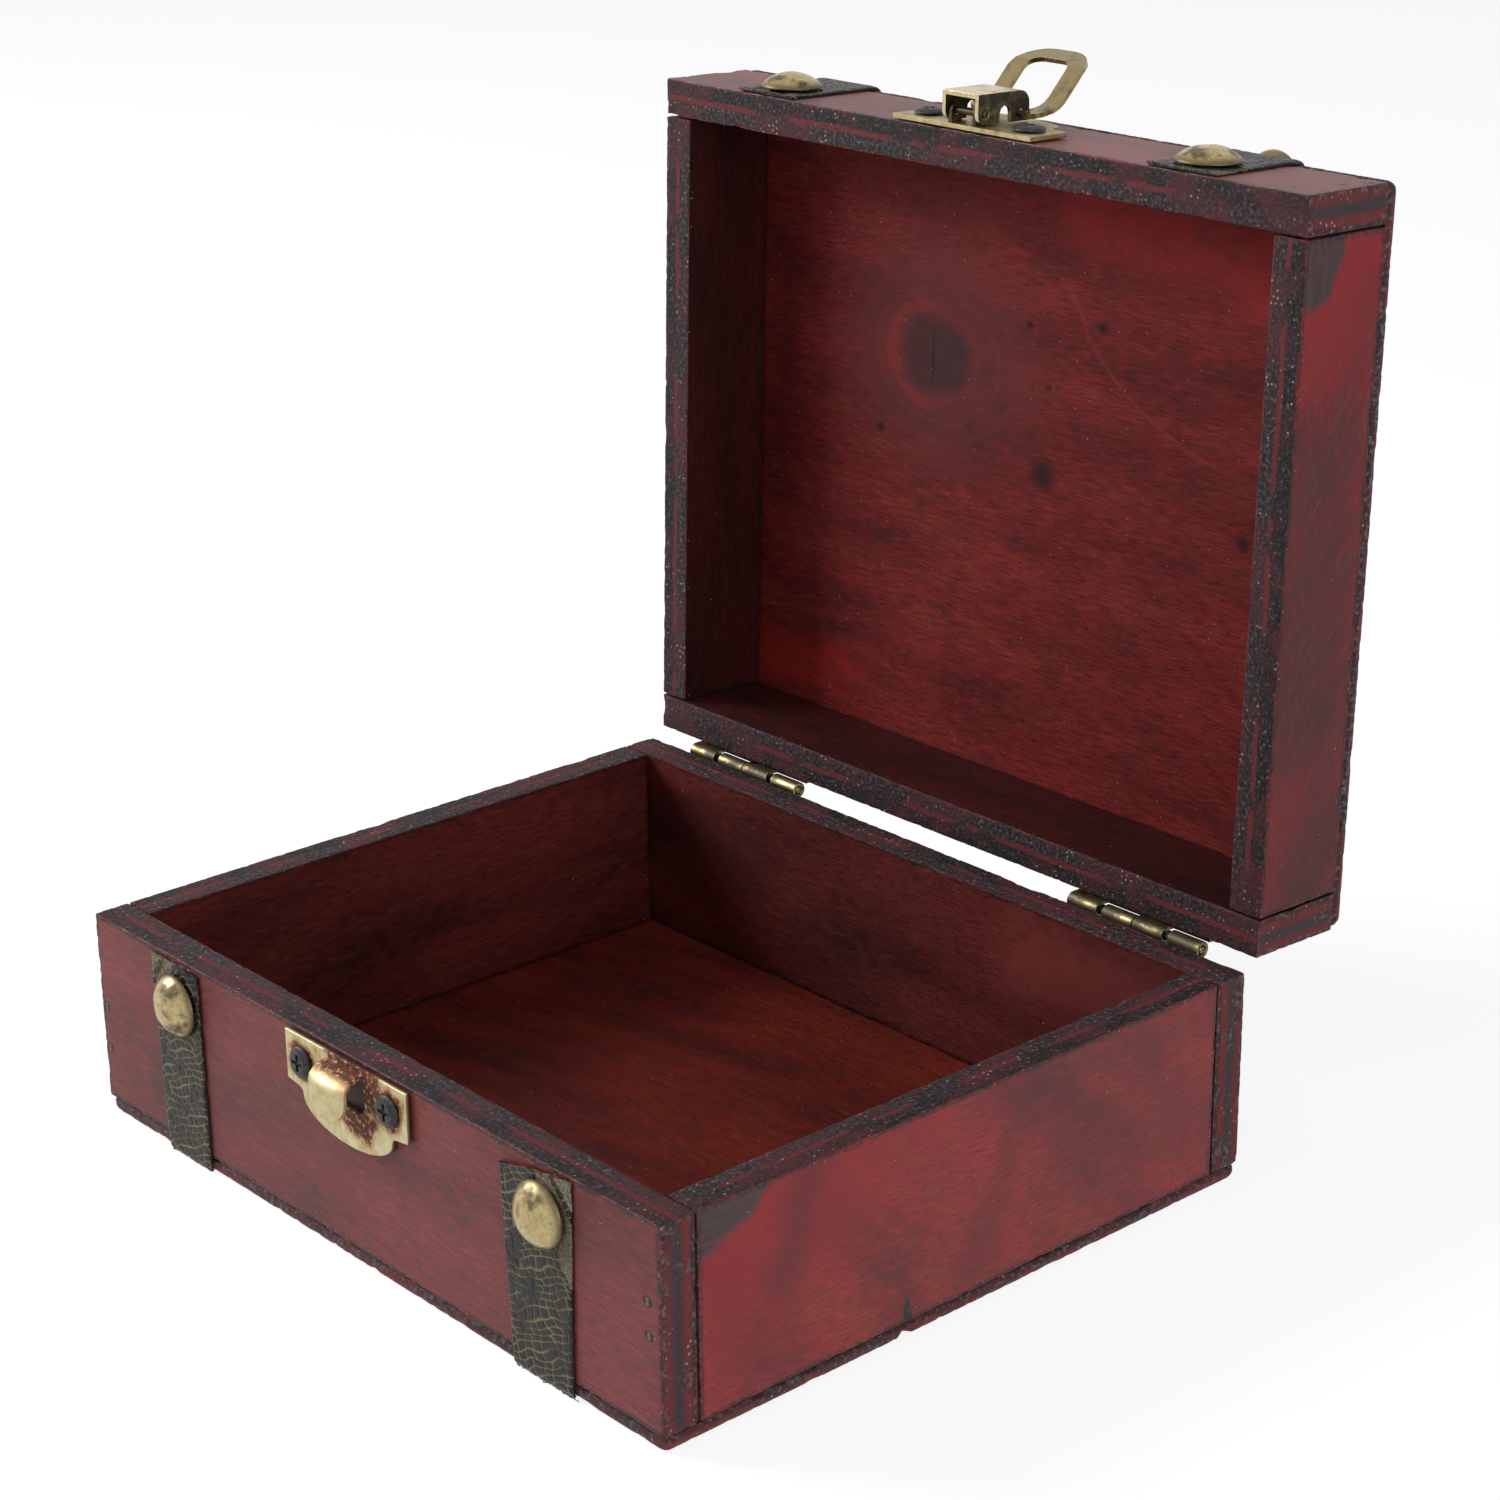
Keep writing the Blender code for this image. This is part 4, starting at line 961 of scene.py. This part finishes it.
# %% Relief of a strap
STRAP_THICK = 0.65 * MM
CELL = (2.2 * MM, 1.5 * MM)
CRACK_WIDTH = 0.16 * MM
GROOVE, COAT, FIBRE_RISE = 0.14 * MM, 0.2 * MM, 0.06 * MM
COTTON_FIBRE = (0.6 * MM, 2.5 * MM)
PEEL_RAGGED, PEEL_SIZE, PEEL_FADE = 0.1, 1.5 * MM, 0.1
FLAP_PLACE, FLAP_SLANT, FLAP_WIDTH = 0.45, 11 * MM, 0.09
CRUMPLE, CRUMPLE_SIZE, CRUMPLE_FADE = 0.2 * MM, 3 * MM, 8 * MM
SWELL, SWELL_SIZE = 0.06 * MM, 6 * MM
WARP_SIZE = 4 * MM


def crack_gap(spot, seed):
    """Distance from the nearest crack: long ones run aslant across the strap, and short ones join them."""
    warp = noise.noise_vector(spot / WARP_SIZE + Vector((0, 0, seed)))
    v = spot.y / CELL[1] + 0.6 * spot.x / CELL[0] + 0.9 * warp.y
    row = math.floor(v)
    u = spot.x / CELL[0] - 0.3 * v + 0.7 * warp.x + 3 * noise.cell(Vector((row + 0.5, seed, 0.5)))
    return min(min(v - row, row + 1 - v) * CELL[1], abs(u - round(u)) * CELL[0])


def strap_relief(across, along, side_share, peel_length, seed):
    """Height over the wood, distance from a crack, and peel share at one place."""
    spot = Vector((across, along, 0))
    crackle = crack_gap(spot, seed)
    ragged = PEEL_RAGGED * noise.noise(spot / PEEL_SIZE + Vector((0, 0, seed)))
    bare = side_share - 1 + 1.1 * max(1 - along / peel_length, 0) ** 0.7 + ragged
    flap = abs(side_share - FLAP_PLACE - along / FLAP_SLANT)
    peel = min(max(bare / PEEL_FADE, 0), 1) if along < peel_length and flap > FLAP_WIDTH else 0
    fibre = noise.noise(Vector((across / COTTON_FIBRE[0], along / COTTON_FIBRE[1], seed)))
    crumple = CRUMPLE * noise.noise(spot / CRUMPLE_SIZE + Vector((5, 0, seed)))
    crumple *= math.exp(-along / CRUMPLE_FADE)
    swell = SWELL * noise.noise(spot / SWELL_SIZE + Vector((0, 4, seed)))
    cells = COAT - GROOVE * math.exp(-(crackle / CRACK_WIDTH) ** 2)
    coat = (1 - peel) * cells + peel * FIBRE_RISE * fibre
    return STRAP_THICK - COAT + coat + crumple + swell, crackle, peel


print("crackle cells", CELL[0] / MM, "by", CELL[1] / MM, "mm")

# %% [markdown]
# The straps were cut by hand: each has its own taper, its own slanting end at the rim and its own peeled
# side. The sides are given in millimetres at the rim and at the far end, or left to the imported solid.

# %% Strip with a relief
NAIL_PRESS, NAIL_REACH = 0.2 * MM, 6.2 * MM
RAGGED, RAGGED_SIZE = 0.3 * MM, 3 * MM
SIDE_THIN, SIDE_SHARE = 0.7, 0.04
STRAP_CUTS = {
    "base_strap_left": ((-60.4, -45.4), (-58.7, -45.3), (0.4, 0.8), -1, 9 * MM),
    "base_strap_right": ((41.2, 59.3), (43.1, 58.2), (3.2, 0), 1, 19 * MM),
    "lid_strap_left": (None, None, (0.5, 0), -1, 9 * MM),
    "lid_strap_right": (None, None, (0, 0.6), 1, 8 * MM),
}


def strap_edges(node, run):
    """X of a strap's two sides at a share of its length."""
    low, high = shut_box(node)
    rim, far = STRAP_CUTS[node][:2]
    if rim is None:
        return low.x, high.x
    return tuple((start + (end - start) * run) * MM for start, end in zip(rim, far))


def end_cut(share, slant, seed):
    """How far the end at the rim is cut back at a share of the strap's width."""
    ragged = 0.3 * noise.noise(Vector((9 * share, 3, seed)))
    return (slant[0] * (1 - share) ** 1.5 + slant[1] * share + ragged) * MM


def strap_mesh(name, node, seed, nails):
    """A closed strip with ragged sides: relief on top, flat underneath."""
    _, _, slant, peel_side, peel_length = STRAP_CUTS[node]
    steps, path, out = strap_path(node)
    length = steps[-1]
    left, right = strap_edges(node, 0)
    shares = np.linspace(0, 1, round((right - left) / STRAP_STEP[NODES[node]["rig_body"]]) + 1)
    cuts = [end_cut(share, slant, seed) for share in shares]
    top, under, crackles, peels = [], [], [], []
    for run in steps / length:
        left, right = strap_edges(node, run)
        waves = (noise.noise(Vector((run * length / RAGGED_SIZE, side * 9, seed))) for side in (0, 1))
        ragged = [RAGGED * wave for wave in waves]
        for share, cut in zip(shares, cuts):
            along = cut + run * (length - cut)
            x = (left + ragged[0]) * (1 - share) + (right + ragged[1]) * share
            height, crackle, peel = strap_relief(x, along, peel_side * (2 * share - 1), peel_length, seed)
            press = max(math.exp(-(math.hypot(x - nail, along - at) / NAIL_REACH) ** 4) for nail, at in nails)
            thinned = SIDE_THIN + (1 - SIDE_THIN) * min(min(share, 1 - share) / SIDE_SHARE, 1) ** 0.5
            height = (height - NAIL_PRESS * press) * thinned
            spot, normal = (
                [np.interp(along, steps, part[:, axis]) for axis in (0, 1)] for part in (path, out)
            )
            top.append((x, spot[0] + normal[0] * height, spot[1] + normal[1] * height))
            crackles.append(crackle / MM)
            peels.append(peel)
            if share in (0, 1):
                under.append((x, *spot))
    rows, count = len(steps), len(shares)
    number = np.arange(rows * count).reshape(rows, count)
    low = rows * count + 2 * np.arange(rows)
    faces = grid_quads(number[:-1, :-1], number[:-1, 1:], number[1:, 1:], number[1:, :-1])
    faces += np.column_stack([low[1:], low[1:] + 1, low[:-1] + 1, low[:-1]]).tolist()
    faces += np.column_stack([number[1:, 0], low[1:], low[:-1], number[:-1, 0]]).tolist()
    faces += np.column_stack([number[:-1, -1], low[:-1] + 1, low[1:] + 1, number[1:, -1]]).tolist()
    faces += [[*number[0, ::-1].tolist(), low[0], low[0] + 1], [*number[-1].tolist(), low[-1] + 1, low[-1]]]
    layers = {"crackle": crackles + [1.0] * len(under), "peel": peels + [0.0] * len(under)}
    return soft_shading(closed_mesh(name, top + under, faces, layers), sharp=60)


print("straps cut:", *STRAP_CUTS)

# %% [markdown]
# Leatherette is a vinyl coat on woven cotton. The coat is a dark green-grey with a satin gleam, its cracks
# and the peeled backing show the tan cotton, and finer cracks that the grid can't carry are only drawn.

# %% Leatherette finish
FINE_CRACKLE = 1.1 * MM
STRAP_SEED = 29
STRAP_NAILS = {"base": ("base_nail",), "lid": ("lid_front_nail", "lid_top_nail", "lid_back_nail")}


def leatherette():
    """Vinyl on cotton: satin dark coat, matt tan threads where it cracked or peeled."""
    put = new_finish("crackled_vinyl_on_cotton")
    cloud, worn, weave = (
        put("TexNoise", {"Vector": put.where, "Scale": 1 / (size * MM), "Detail": detail})
        for size, detail in ((3, 4.0), (6, 3.0), (0.45, 3.0))
    )
    coat = put("ValToRGB", cloud, stops=[(0.3, "#0d0e0d"), (0.55, "#171817"), (0.75, "#262724")])
    kept = put("MapRange", worn, 0.36, 0.5, 0, 0.9)
    crackle, peel = (put("Attribute", attribute_name=layer, out="Fac") for layer in ("crackle", "peel"))
    wide = put("MapRange", crackle, 0.2, 0.07, 0, kept, **SOFT)
    cells = {"Vector": put.where, "Scale": 1 / FINE_CRACKLE}
    fine_edge = put("TexVoronoi", cells, feature="DISTANCE_TO_EDGE")
    fine = put("MapRange", fine_edge, 0.05, 0.015, 0, put("MapRange", worn, 0.6, 0.45, 0, 0.5))
    cotton = put("ValToRGB", weave, stops=[(0.3, "#453e33"), (0.5, "#786d59"), (0.75, "#a4977d")])
    bare = put("MapRange", peel, 0.2, 0.8)
    colour = coats(put, coat, (fine, "#3f3a2c"), (wide, "#7d6e4e"), (bare, cotton))
    rough = put("MapRange", peel, 0, 1, 0.42, 0.9)
    return surface(put, colour, rough, (weave, 0.3, 0.1), {"IOR": 1.5, "Specular IOR Level": 0.25})


def nail_spots(tray, side):
    """Each nail on a strap as its X and its distance along the strap."""
    steps, path, _ = strap_path(f"{tray}_strap_{side}")
    spots = []
    for stem in STRAP_NAILS[tray]:
        nail = middle_of(f"{stem}_{side}")
        spots.append((nail.x, steps[np.argmin(np.hypot(path[:, 0] - nail.y, path[:, 1] - nail.z))]))
    return spots


LEATHERETTE = leatherette()
STRAPS = {}
noise.seed_set(STRAP_SEED)
for seed, node in enumerate(STRAP_CUTS, 3):
    tray, _, side = node.split("_")
    mesh = strap_mesh(f"crackled_{node}", node, seed, nail_spots(tray, side))
    piece = link_piece(f"crackled_{node}", mesh, PLACES[tray], [LEATHERETTE])
    STRAPS[node] = stand_for(piece, node, "leatherette")
print(len(STRAPS), "straps,", sum(len(strap.data.polygons) for strap in STRAPS.values()), "faces")

# %% [markdown]
# Where a strap was cut, a few cotton threads hang out of its end. Hair particles could make them, but those
# are lost in an export, so each thread is a thin bent wire of a curve, and those of a strap become one mesh.

# %% Frayed threads
THREAD_SEED = 23
THREAD_RADIUS, THREAD_LIFT = 0.08 * MM, 0.25 * MM
THREADS = {"base": (10, 2.2 * MM), "lid": (22, 5 * MM)}


def cotton_thread():
    """Undyed cotton: matt and fuzzy."""
    put = new_finish("frayed_cotton_thread")
    twist = put("TexNoise", {"Vector": put.where, "Scale": 1 / (0.3 * MM)})
    colour = put("ValToRGB", twist, stops=[(0.35, "#1d1b19"), (0.65, "#7d7770")])
    put(put.finish.node_tree.nodes["Principled BSDF"], {"Base Color": colour, "Roughness": 0.9})
    return put.finish


def thread_points(sides, foot, lead, out, reach):
    """Three points of one thread from two random draws; lead points on from the strap's end."""
    stray = noise.random_unit_vector()
    bend = noise.random_unit_vector()
    share = 0.5 + 0.48 * math.sin(9 * stray.z)
    start = Vector((sides[0] + share * (sides[1] - sides[0]), *foot))
    ahead = Vector((stray.x, *(lead * 0.2 * abs(stray.y)))) * reach
    lift = Vector((0, *out)) * THREAD_LIFT
    end = start + ahead * 0.8 + Vector((0, *lead)) * bend.y * MM * 0.4
    return start, start + ahead * 0.4 + lift * (1 + bend.x), end


def frayed_threads(node):
    """Threads that stray from both ends of a strap, close to the wood."""
    _, path, out = strap_path(node)
    count, reach = THREADS[NODES[node]["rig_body"]]
    curve = bpy.data.curves.new(f"threads_{node}", "CURVE")
    curve.dimensions = "3D"
    curve.bevel_depth = THREAD_RADIUS
    curve.bevel_resolution = 1
    for at, inward in ((0, 8), (-1, -9)):
        sides = strap_edges(node, -at)
        foot = path[at] + out[at] * 0.4 * MM
        lead = (path[at] - path[inward]) / np.linalg.norm(path[at] - path[inward])
        for _ in range(count):
            points = thread_points(sides, foot, lead, out[at], reach)
            spline = curve.splines.new("POLY")
            spline.points.add(len(points) - 1)
            for target, point in zip(spline.points, points):
                target.co = (point.x, point.y, max(point.z, THREAD_RADIUS), 1)
    maker = bpy.data.objects.new("thread_curve", curve)
    mesh = bpy.data.meshes.new_from_object(maker)
    bpy.data.objects.remove(maker)
    return mesh


THREAD = cotton_thread()
noise.seed_set(THREAD_SEED)
for node in STRAPS:
    tray = NODES[node]["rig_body"]
    piece = link_piece(f"threads_{node}", frayed_threads(node), PLACES[tray], [THREAD])
    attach(piece, tray)
print(len(STRAPS), "straps frayed")

# %% [markdown]
# ## Brass
# The nails, the lever, the loop and the hinges are antique brass: plated, darkened in a bath and rubbed
# back, so hollows stay brown and high spots shine. The two plates were left bright, and their steel core
# rusts where the punch cut through the plating. Tarnish is a dull skin, so it lowers the metallic share.

# %% Antique brass
def antique_brass(name, clear, bright, dark, lip=0.0):
    """Darkened brass rubbed back: clear is how much is free of tarnish, lip the height of a low edge that is
    darkened as painted shade.
    """
    put = new_finish(name)
    cloud = put("TexNoise", {"Vector": put.where, "Scale": 1 / (5 * MM), "Detail": 4.0, "Roughness": 0.55})
    spots = put("TexNoise", {"Vector": put.where, "Scale": 1 / (0.8 * MM), "Detail": 3.0})
    both = put("Math.MULTIPLY_ADD", spots, 0.12, cloud)
    tarnish_and_shade = put("MapRange", both, clear, clear + 0.18, 0, 0.85, **SOFT)
    # Painted shade: the low edge of the dome is darkened up to the lip's height.
    if lip:
        low = put("MapRange", put("SeparateXYZ", put.where, out="Z"), lip, 0, 0, 0.8, **SOFT)
        tarnish_and_shade = put("Math.MAXIMUM", tarnish_and_shade, low)
    colour = coats(put, put("ValToRGB", spots, stops=[(0.3, bright), (0.9, "#93835c")]), (tarnish_and_shade, dark))
    rough = put("MapRange", tarnish_and_shade, 0, 1, 0.27, 0.5)
    metal = put("MapRange", tarnish_and_shade, 0, 1, 1.0, 0.6)
    return surface(put, colour, rough, (both, 0.15, 0.08), {"Metallic": metal})


# The nails' low edge is darkened up to 1.4 mm, painted shade.
NAIL_BRASS = antique_brass("antique_brass_nail", 0.54, "#bba97c", "#3a2d1c", 1.4 * MM)
LATCH_BRASS = antique_brass("antique_brass_lever", 0.62, "#d0bf97", "#62543d")
LOOP_BRASS = antique_brass("antique_brass_loop", 0.56, "#8c7d58", "#4a3f2b")
HINGE_BRASS = antique_brass("antique_brass_hinge", 0.44, "#776a4c", "#2a231a")
# Painted shade: the lever's shade finish darkens its inside and its sides, which mirror dark surroundings,
# and the dark brass darkens the plate's ears and the pin under the lever.
LEVER_SHADE_BRASS = antique_brass("brass_painted_shade_and_reflection", 0.4, "#443a2e", "#1c1917")
RUBBED_BRASS = antique_brass("rubbed_brass_edge", 0.75, "#d6c69a", "#8f7a4a")
DARK_BRASS = antique_brass("brass_in_painted_shade", 0.35, "#5a4a30", "#1d1610")
print("antique brass in seven states of wear")

# %% [markdown]
# Rust starts at the punched window and round the screws of the catch. Each place is a centre with a reach
# across and up, and a mottled noise frays it.

# %% Bright brass with rust
PLATE_FACE = CATCH_HIGH.y - 0.8 * MM
RUST_SPOTS = {
    (2.5 * MM, 0, CATCH_HIGH.z - 3.5 * MM): (11 * MM, 7 * MM),
    (3.5 * MM, 0, CATCH_HIGH.z - 10 * MM): (6.5 * MM, 4 * MM),
    **{tuple(middle_of(f"catch_screw_{side}")): (4.6 * MM, 4.6 * MM) for side in ("left", "right")},
}


def bright_brass(name, rust_spots, tones, axis, face, back):
    """Pale brass on steel, rusting where punched, and darker towards the back, between a face and a back
    along an axis.
    """
    put = new_finish(name)
    mottle = put("TexNoise", {"Vector": put.where, "Scale": 1 / (2.4 * MM), "Detail": 5.0, "Roughness": 0.62})
    fine = put("TexNoise", {"Vector": put.where, "Scale": 1 / (0.9 * MM), "Detail": 4.0})
    eaten = put("MapRange", fine, 0.24, 0.46)
    rust = 0.0
    for spot, (wide, high) in rust_spots.items():
        offset = put("VectorMath.SUBTRACT", put.where, spot)
        scaled = put("VectorMath.MULTIPLY", offset, (1 / wide, 0, 1 / high))
        ragged = put("Math.SUBTRACT", put("VectorMath.LENGTH", scaled, out="Value"), mottle)
        rust = put("Math.MAXIMUM", rust, put("MapRange", ragged, 0.62, 0.12, 0, eaten, **SOFT))
    y = put("SeparateXYZ", put.where, out="Y")
    rust = put("MapRange", y, PLATE_FACE - 4.2 * MM, PLATE_FACE - 2.2 * MM, 0, rust)
    clean = put("ValToRGB", mottle, stops=zip((0.3, 0.55, 0.75), tones))
    red_stops = [(0.15, "#c39a62"), (0.5, "#a4622c"), (0.85, "#7d3e18"), (1, "#54260f")]
    red = put("ValToRGB", rust, stops=red_stops)
    # Darker and duller towards the back of the plate, where it lies on the wood.
    darker_back = put("MapRange", put("SeparateXYZ", put.where, out=axis), face, back, 0, 0.9)
    skin = put("Math.MAXIMUM", rust, darker_back)
    rough = put("MapRange", skin, 0, 1, 0.46, 0.75)
    metal = put("MapRange", skin, 0, 1, 1.0, 0.15)
    colour = coats(put, clean, (rust, red), (darker_back, "#241b14"))
    return surface(put, colour, rough, (mottle, 0.25, 0.1), {"Metallic": metal})


PALE_TONES, DULL_TONES = ("#c9bf9c", "#b7aa7f", "#988962"), ("#b3a57e", "#9a8a62", "#6e6045")
LATCH_LOW = min(vert.co.z for vert in NODES["latch_plate"].data.vertices)
CATCH_BACK = ("Y", CATCH_HIGH.y - 0.45 * MM, CATCH_HIGH.y - 0.3 * MM)
LATCH_BACK = ("Z", LATCH_LOW + 0.5 * MM, LATCH_LOW + 0.3 * MM)
CATCH_BRASS = bright_brass("bright_brass_rusting", RUST_SPOTS, PALE_TONES, *CATCH_BACK)
PLATE_BRASS = bright_brass("bright_brass_dull", {}, DULL_TONES, *LATCH_BACK)
print("rust on the catch plate at", len(RUST_SPOTS), "places")

# %% [markdown]
# Black oxide is a thin brown-black skin on the steel screws. It is dark and satin, and the driver has
# scraped the cross a little. The brads are bare steel wire, dull and greyer.

# %% Black oxide and bare steel
def dull_steel(name, tones):
    """Steel under a dark skin: satin, with greyer scuffs."""
    put = new_finish(name)
    mottle = put("TexNoise", {"Vector": put.where, "Scale": 1 / (0.8 * MM), "Detail": 4.0})
    colour = put("ValToRGB", mottle, stops=zip((0.3, 0.6, 0.8), tones))
    rough = put("MapRange", mottle, 0, 1, 0.35, 0.6)
    return surface(put, colour, rough, (mottle, 0.2, 0.06), {"Metallic": 0.6})


BLACK_STEEL = dull_steel("black_oxide_steel", ("#1f1e1e", "#3a3939", "#5f5c5a"))
BRAD_STEEL = dull_steel("bare_steel_wire", ("#3f3a34", "#6d665c", "#9a9286"))
print("steel finishes:", BLACK_STEEL.name, BRAD_STEEL.name)

# %% [markdown]
# ## Domed nails
# The nails are stamped caps, and their soft brass is dented. Half a sphere would be quicker, but it has no
# lip to draw a dark line round the nail. So each dome is a turned profile with a rolled lip, pushed in at a
# few places and turned by its own angle, and no two are alike.

# %% Nail domes
NAIL_RINGS, NAIL_TURNS = 16, 64
LIP = 0.3 * MM
DOME, LOW_DOME = 3.3 * MM, 2.5 * MM
DENT, DENT_COUNT, DENT_SPREAD, DENT_REACH = 0.22 * MM, 3, 0.65, 0.2
WAVE, WAVE_SIZE = 0.05 * MM, 2.6 * MM
NAIL_SEED, NAIL_TURN = 11, 2.4


def dome_mesh(name, radius, rise, seed):
    """A dented dome over its own rim plane, closed underneath."""
    sphere = (radius ** 2 + rise ** 2) / (2 * rise)
    angles = np.linspace(0, math.asin(min(radius / sphere, 1)), NAIL_RINGS + 1)
    profile = [(sphere * math.sin(angle), rise - sphere + sphere * math.cos(angle)) for angle in angles]
    profile += [(radius, -LIP * 0.6), (radius - LIP, -LIP), (0, -LIP)]
    work = bmesh.new()
    verts = [work.verts.new((across, 0, up)) for across, up in profile]
    geometry = [*verts, *(work.edges.new(pair) for pair in zip(verts, verts[1:]))]
    turn = {"cent": (0, 0, 0), "axis": (0, 0, 1), "angle": 2 * math.pi, "steps": NAIL_TURNS}
    bmesh.ops.spin(work, geom=geometry, use_merge=True, **turn)
    bmesh.ops.remove_doubles(work, verts=work.verts, dist=0.001 * MM)
    bmesh.ops.recalc_face_normals(work, faces=work.faces)
    dents = [DENT_SPREAD * noise.random_unit_vector().xy for _ in range(DENT_COUNT)]
    for vert in work.verts:
        if vert.co.z > 0:
            dent = sum(math.exp(-((vert.co.xy / radius - spot).length / DENT_REACH) ** 2) for spot in dents)
            wave = WAVE * noise.noise(vert.co / WAVE_SIZE + Vector((seed, 0, 0)))
            vert.co.z += wave - DENT * min(dent, 1) * vert.co.z / rise
    return mesh_from(work, name, sharp=60)


noise.seed_set(NAIL_SEED)
NAILS = sorted(name for name in NODES if "_nail_" in name)
for number, node in enumerate(NAILS):
    low, high = shut_box(node)
    upward = "top" in node or "back" in node
    rim = middle_of(node)
    rim[2 if upward else 1] = high.z - DOME if upward else low.y + DOME
    face = Matrix.Identity(4) if upward else Matrix.Rotation(math.pi / 2, 4, "X")
    turn = Matrix.Rotation(NAIL_TURN * number, 4, "Z")
    place = PLACES[NODES[node]["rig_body"]] @ Matrix.Translation(rim) @ face @ turn
    rise = LOW_DOME if "lid_front" in node else DOME
    mesh = dome_mesh(f"dented_{node}", (high.x - low.x) / 2, rise, number)
    stand_for(link_piece(f"dented_{node}", mesh, place, [NAIL_BRASS]), node, "aged_brass")
print(len(NAILS), "nails")

# %% [markdown]
# ## Latch, hinges and screws
# These pieces already have their real shape in the imported solids. What they lack is the soft edge of
# stamped metal, so each is copied, its triangles are joined into clean faces and its edges are eased. The
# eased faces take a brighter finish, because edges are where hands rub the tarnish off. The faces inside
# and beside the lever, the plate's ears and the pin under the lever take a dark finish: painted shade, and
# on the lever's sides a painted dark reflection.

# %% Ease the metal pieces
HOOK_BOW, HOOK_PROUD, HOOK_CURVE = 0.7 * MM, 3 * MM, 2.4
HOOK_CUTS = np.linspace(-0.85, 0.85, 9)
SHELL, EAR_FOOT = 0.5 * MM, 1.9 * MM
EASE_ANGLE = 40
PLAIN_FACE, EDGE_FACE, SHADED_FACE = range(3)
SAME_FINISH = -1


def bow_hook(work):
    """Bow the flat tongue of the catch, so that its sides fall back from its middle."""
    half = max(vert.co.x for vert in work.verts if vert.co.y < PLATE_FACE - 1 * MM)
    for share in HOOK_CUTS:
        tongue = [face for face in work.faces if face.calc_center_median().y < PLATE_FACE - 0.1 * MM]
        geometry = {*tongue, *(part for face in tongue for part in (*face.edges, *face.verts))}
        plane = {"plane_co": (share * half, 0, 0), "plane_no": (1, 0, 0)}
        bmesh.ops.bisect_plane(work, geom=list(geometry), dist=0.001 * MM, **plane)
    for vert in work.verts:
        proud = min(max((PLATE_FACE - vert.co.y) / HOOK_PROUD, 0), 1)
        vert.co.y += proud * HOOK_BOW * (abs(vert.co.x) / half) ** HOOK_CURVE


def takes_painted_shade(node, face, low, high):
    """Whether a face of the latch takes the painted shade: inside or beside the lever, or on the plate's
    ears.
    """
    spot = face.calc_center_median()
    if node == "latch_lever":
        inside = all(least + SHELL < part < most - SHELL for least, part, most in zip(low, spot, high))
        return inside or abs(face.normal.x) > 0.9
    return node == "latch_plate" and spot.z > low[2] + EAR_FOOT


def eased(node, finishes, ease, slot):
    """A copy of a CAD piece with softened edges; its finishes are for faces, edges and faces in painted
    shade.
    """
    work = bmesh.new()
    work.from_mesh(NODES[node].data)
    bmesh.ops.remove_doubles(work, verts=work.verts, dist=0.002 * MM)
    bmesh.ops.dissolve_limit(work, angle_limit=math.radians(1), verts=work.verts, edges=work.edges)
    if node == "catch_plate":
        bow_hook(work)
    work.normal_update()
    corners = list(zip(*(vert.co for vert in work.verts)))
    low, high = [min(part) for part in corners], [max(part) for part in corners]
    for face in work.faces:
        face.material_index = SHADED_FACE if takes_painted_shade(node, face, low, high) else PLAIN_FACE
    piece = link_piece(f"eased_{node}", mesh_from(work, f"eased_{node}", sharp=35), finishes=finishes)
    bevel = piece.modifiers.new("Eased edges", "BEVEL")
    bevel.width = ease
    bevel.segments = 2
    bevel.limit_method = "ANGLE"
    bevel.angle_limit = math.radians(EASE_ANGLE)
    bevel.material = SAME_FINISH if finishes[0] is finishes[1] else EDGE_FACE
    piece.modifiers.new("Even shading", "WEIGHTED_NORMAL").keep_sharp = True
    return stand_for(piece, node, slot)


# The third finish of the plate and of the lever, and the pin's dark brass, are painted shade.
EASED = {
    "catch_plate": ((CATCH_BRASS, CATCH_BRASS), 0.25 * MM, "bright_brass"),
    "latch_plate": ((PLATE_BRASS, PLATE_BRASS, DARK_BRASS), 0.25 * MM, "bright_brass"),
    "latch_lever": ((LATCH_BRASS, RUBBED_BRASS, LEVER_SHADE_BRASS), 0.3 * MM, "aged_brass"),
    "latch_loop": ((LOOP_BRASS, LATCH_BRASS), 0.2 * MM, "aged_brass"),
    "latch_pivot_pin": ((DARK_BRASS, DARK_BRASS), 0.1 * MM, "aged_brass"),
}
for node in NODES:
    if "screw" in node:
        EASED[node] = ((BLACK_STEEL, BLACK_STEEL), 0.08 * MM, "black_steel")
    elif node.startswith("hinge"):
        EASED[node] = ((HINGE_BRASS, LOOP_BRASS), 0.1 * MM, "aged_brass")
for node, settings in EASED.items():
    eased(node, *settings)
print(len(EASED), "metal pieces eased")

# %% [markdown]
# ## Brads
# The walls were nailed through the front with small square brads, and a few heads show. Each is a little
# bevelled plug, sunk almost level with the wood in the dark pit that the finish already draws there, painted
# shade of a hole that the board doesn't have.

# %% Brad heads
BRAD_LENGTH, BRAD_SINK = 0.4 * MM, 0.14 * MM


def brad_mesh(name):
    work = bmesh.new()
    bmesh.ops.create_cube(work, size=1)
    bmesh.ops.scale(work, vec=(BRAD_WIDTH, BRAD_HEIGHT, BRAD_LENGTH), verts=work.verts)
    bmesh.ops.bevel(work, geom=work.edges, offset=0.1 * MM, segments=2, affect="EDGES")
    return mesh_from(work, name, sharp=40)


for node in BRADS:
    level = half_thickness(node, 1) - BRAD_SINK
    for number, (along, up) in enumerate(brad_spots(node)):
        name = f"brad_{node}_{number}"
        place = BOARDS[node].matrix_world @ Matrix.Translation((along, up, level))
        piece = link_piece(name, brad_mesh(name), place, [BRAD_STEEL])
        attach(piece, NODES[node]["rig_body"])
    print(node, "has", len(BRADS[node]), "brads")
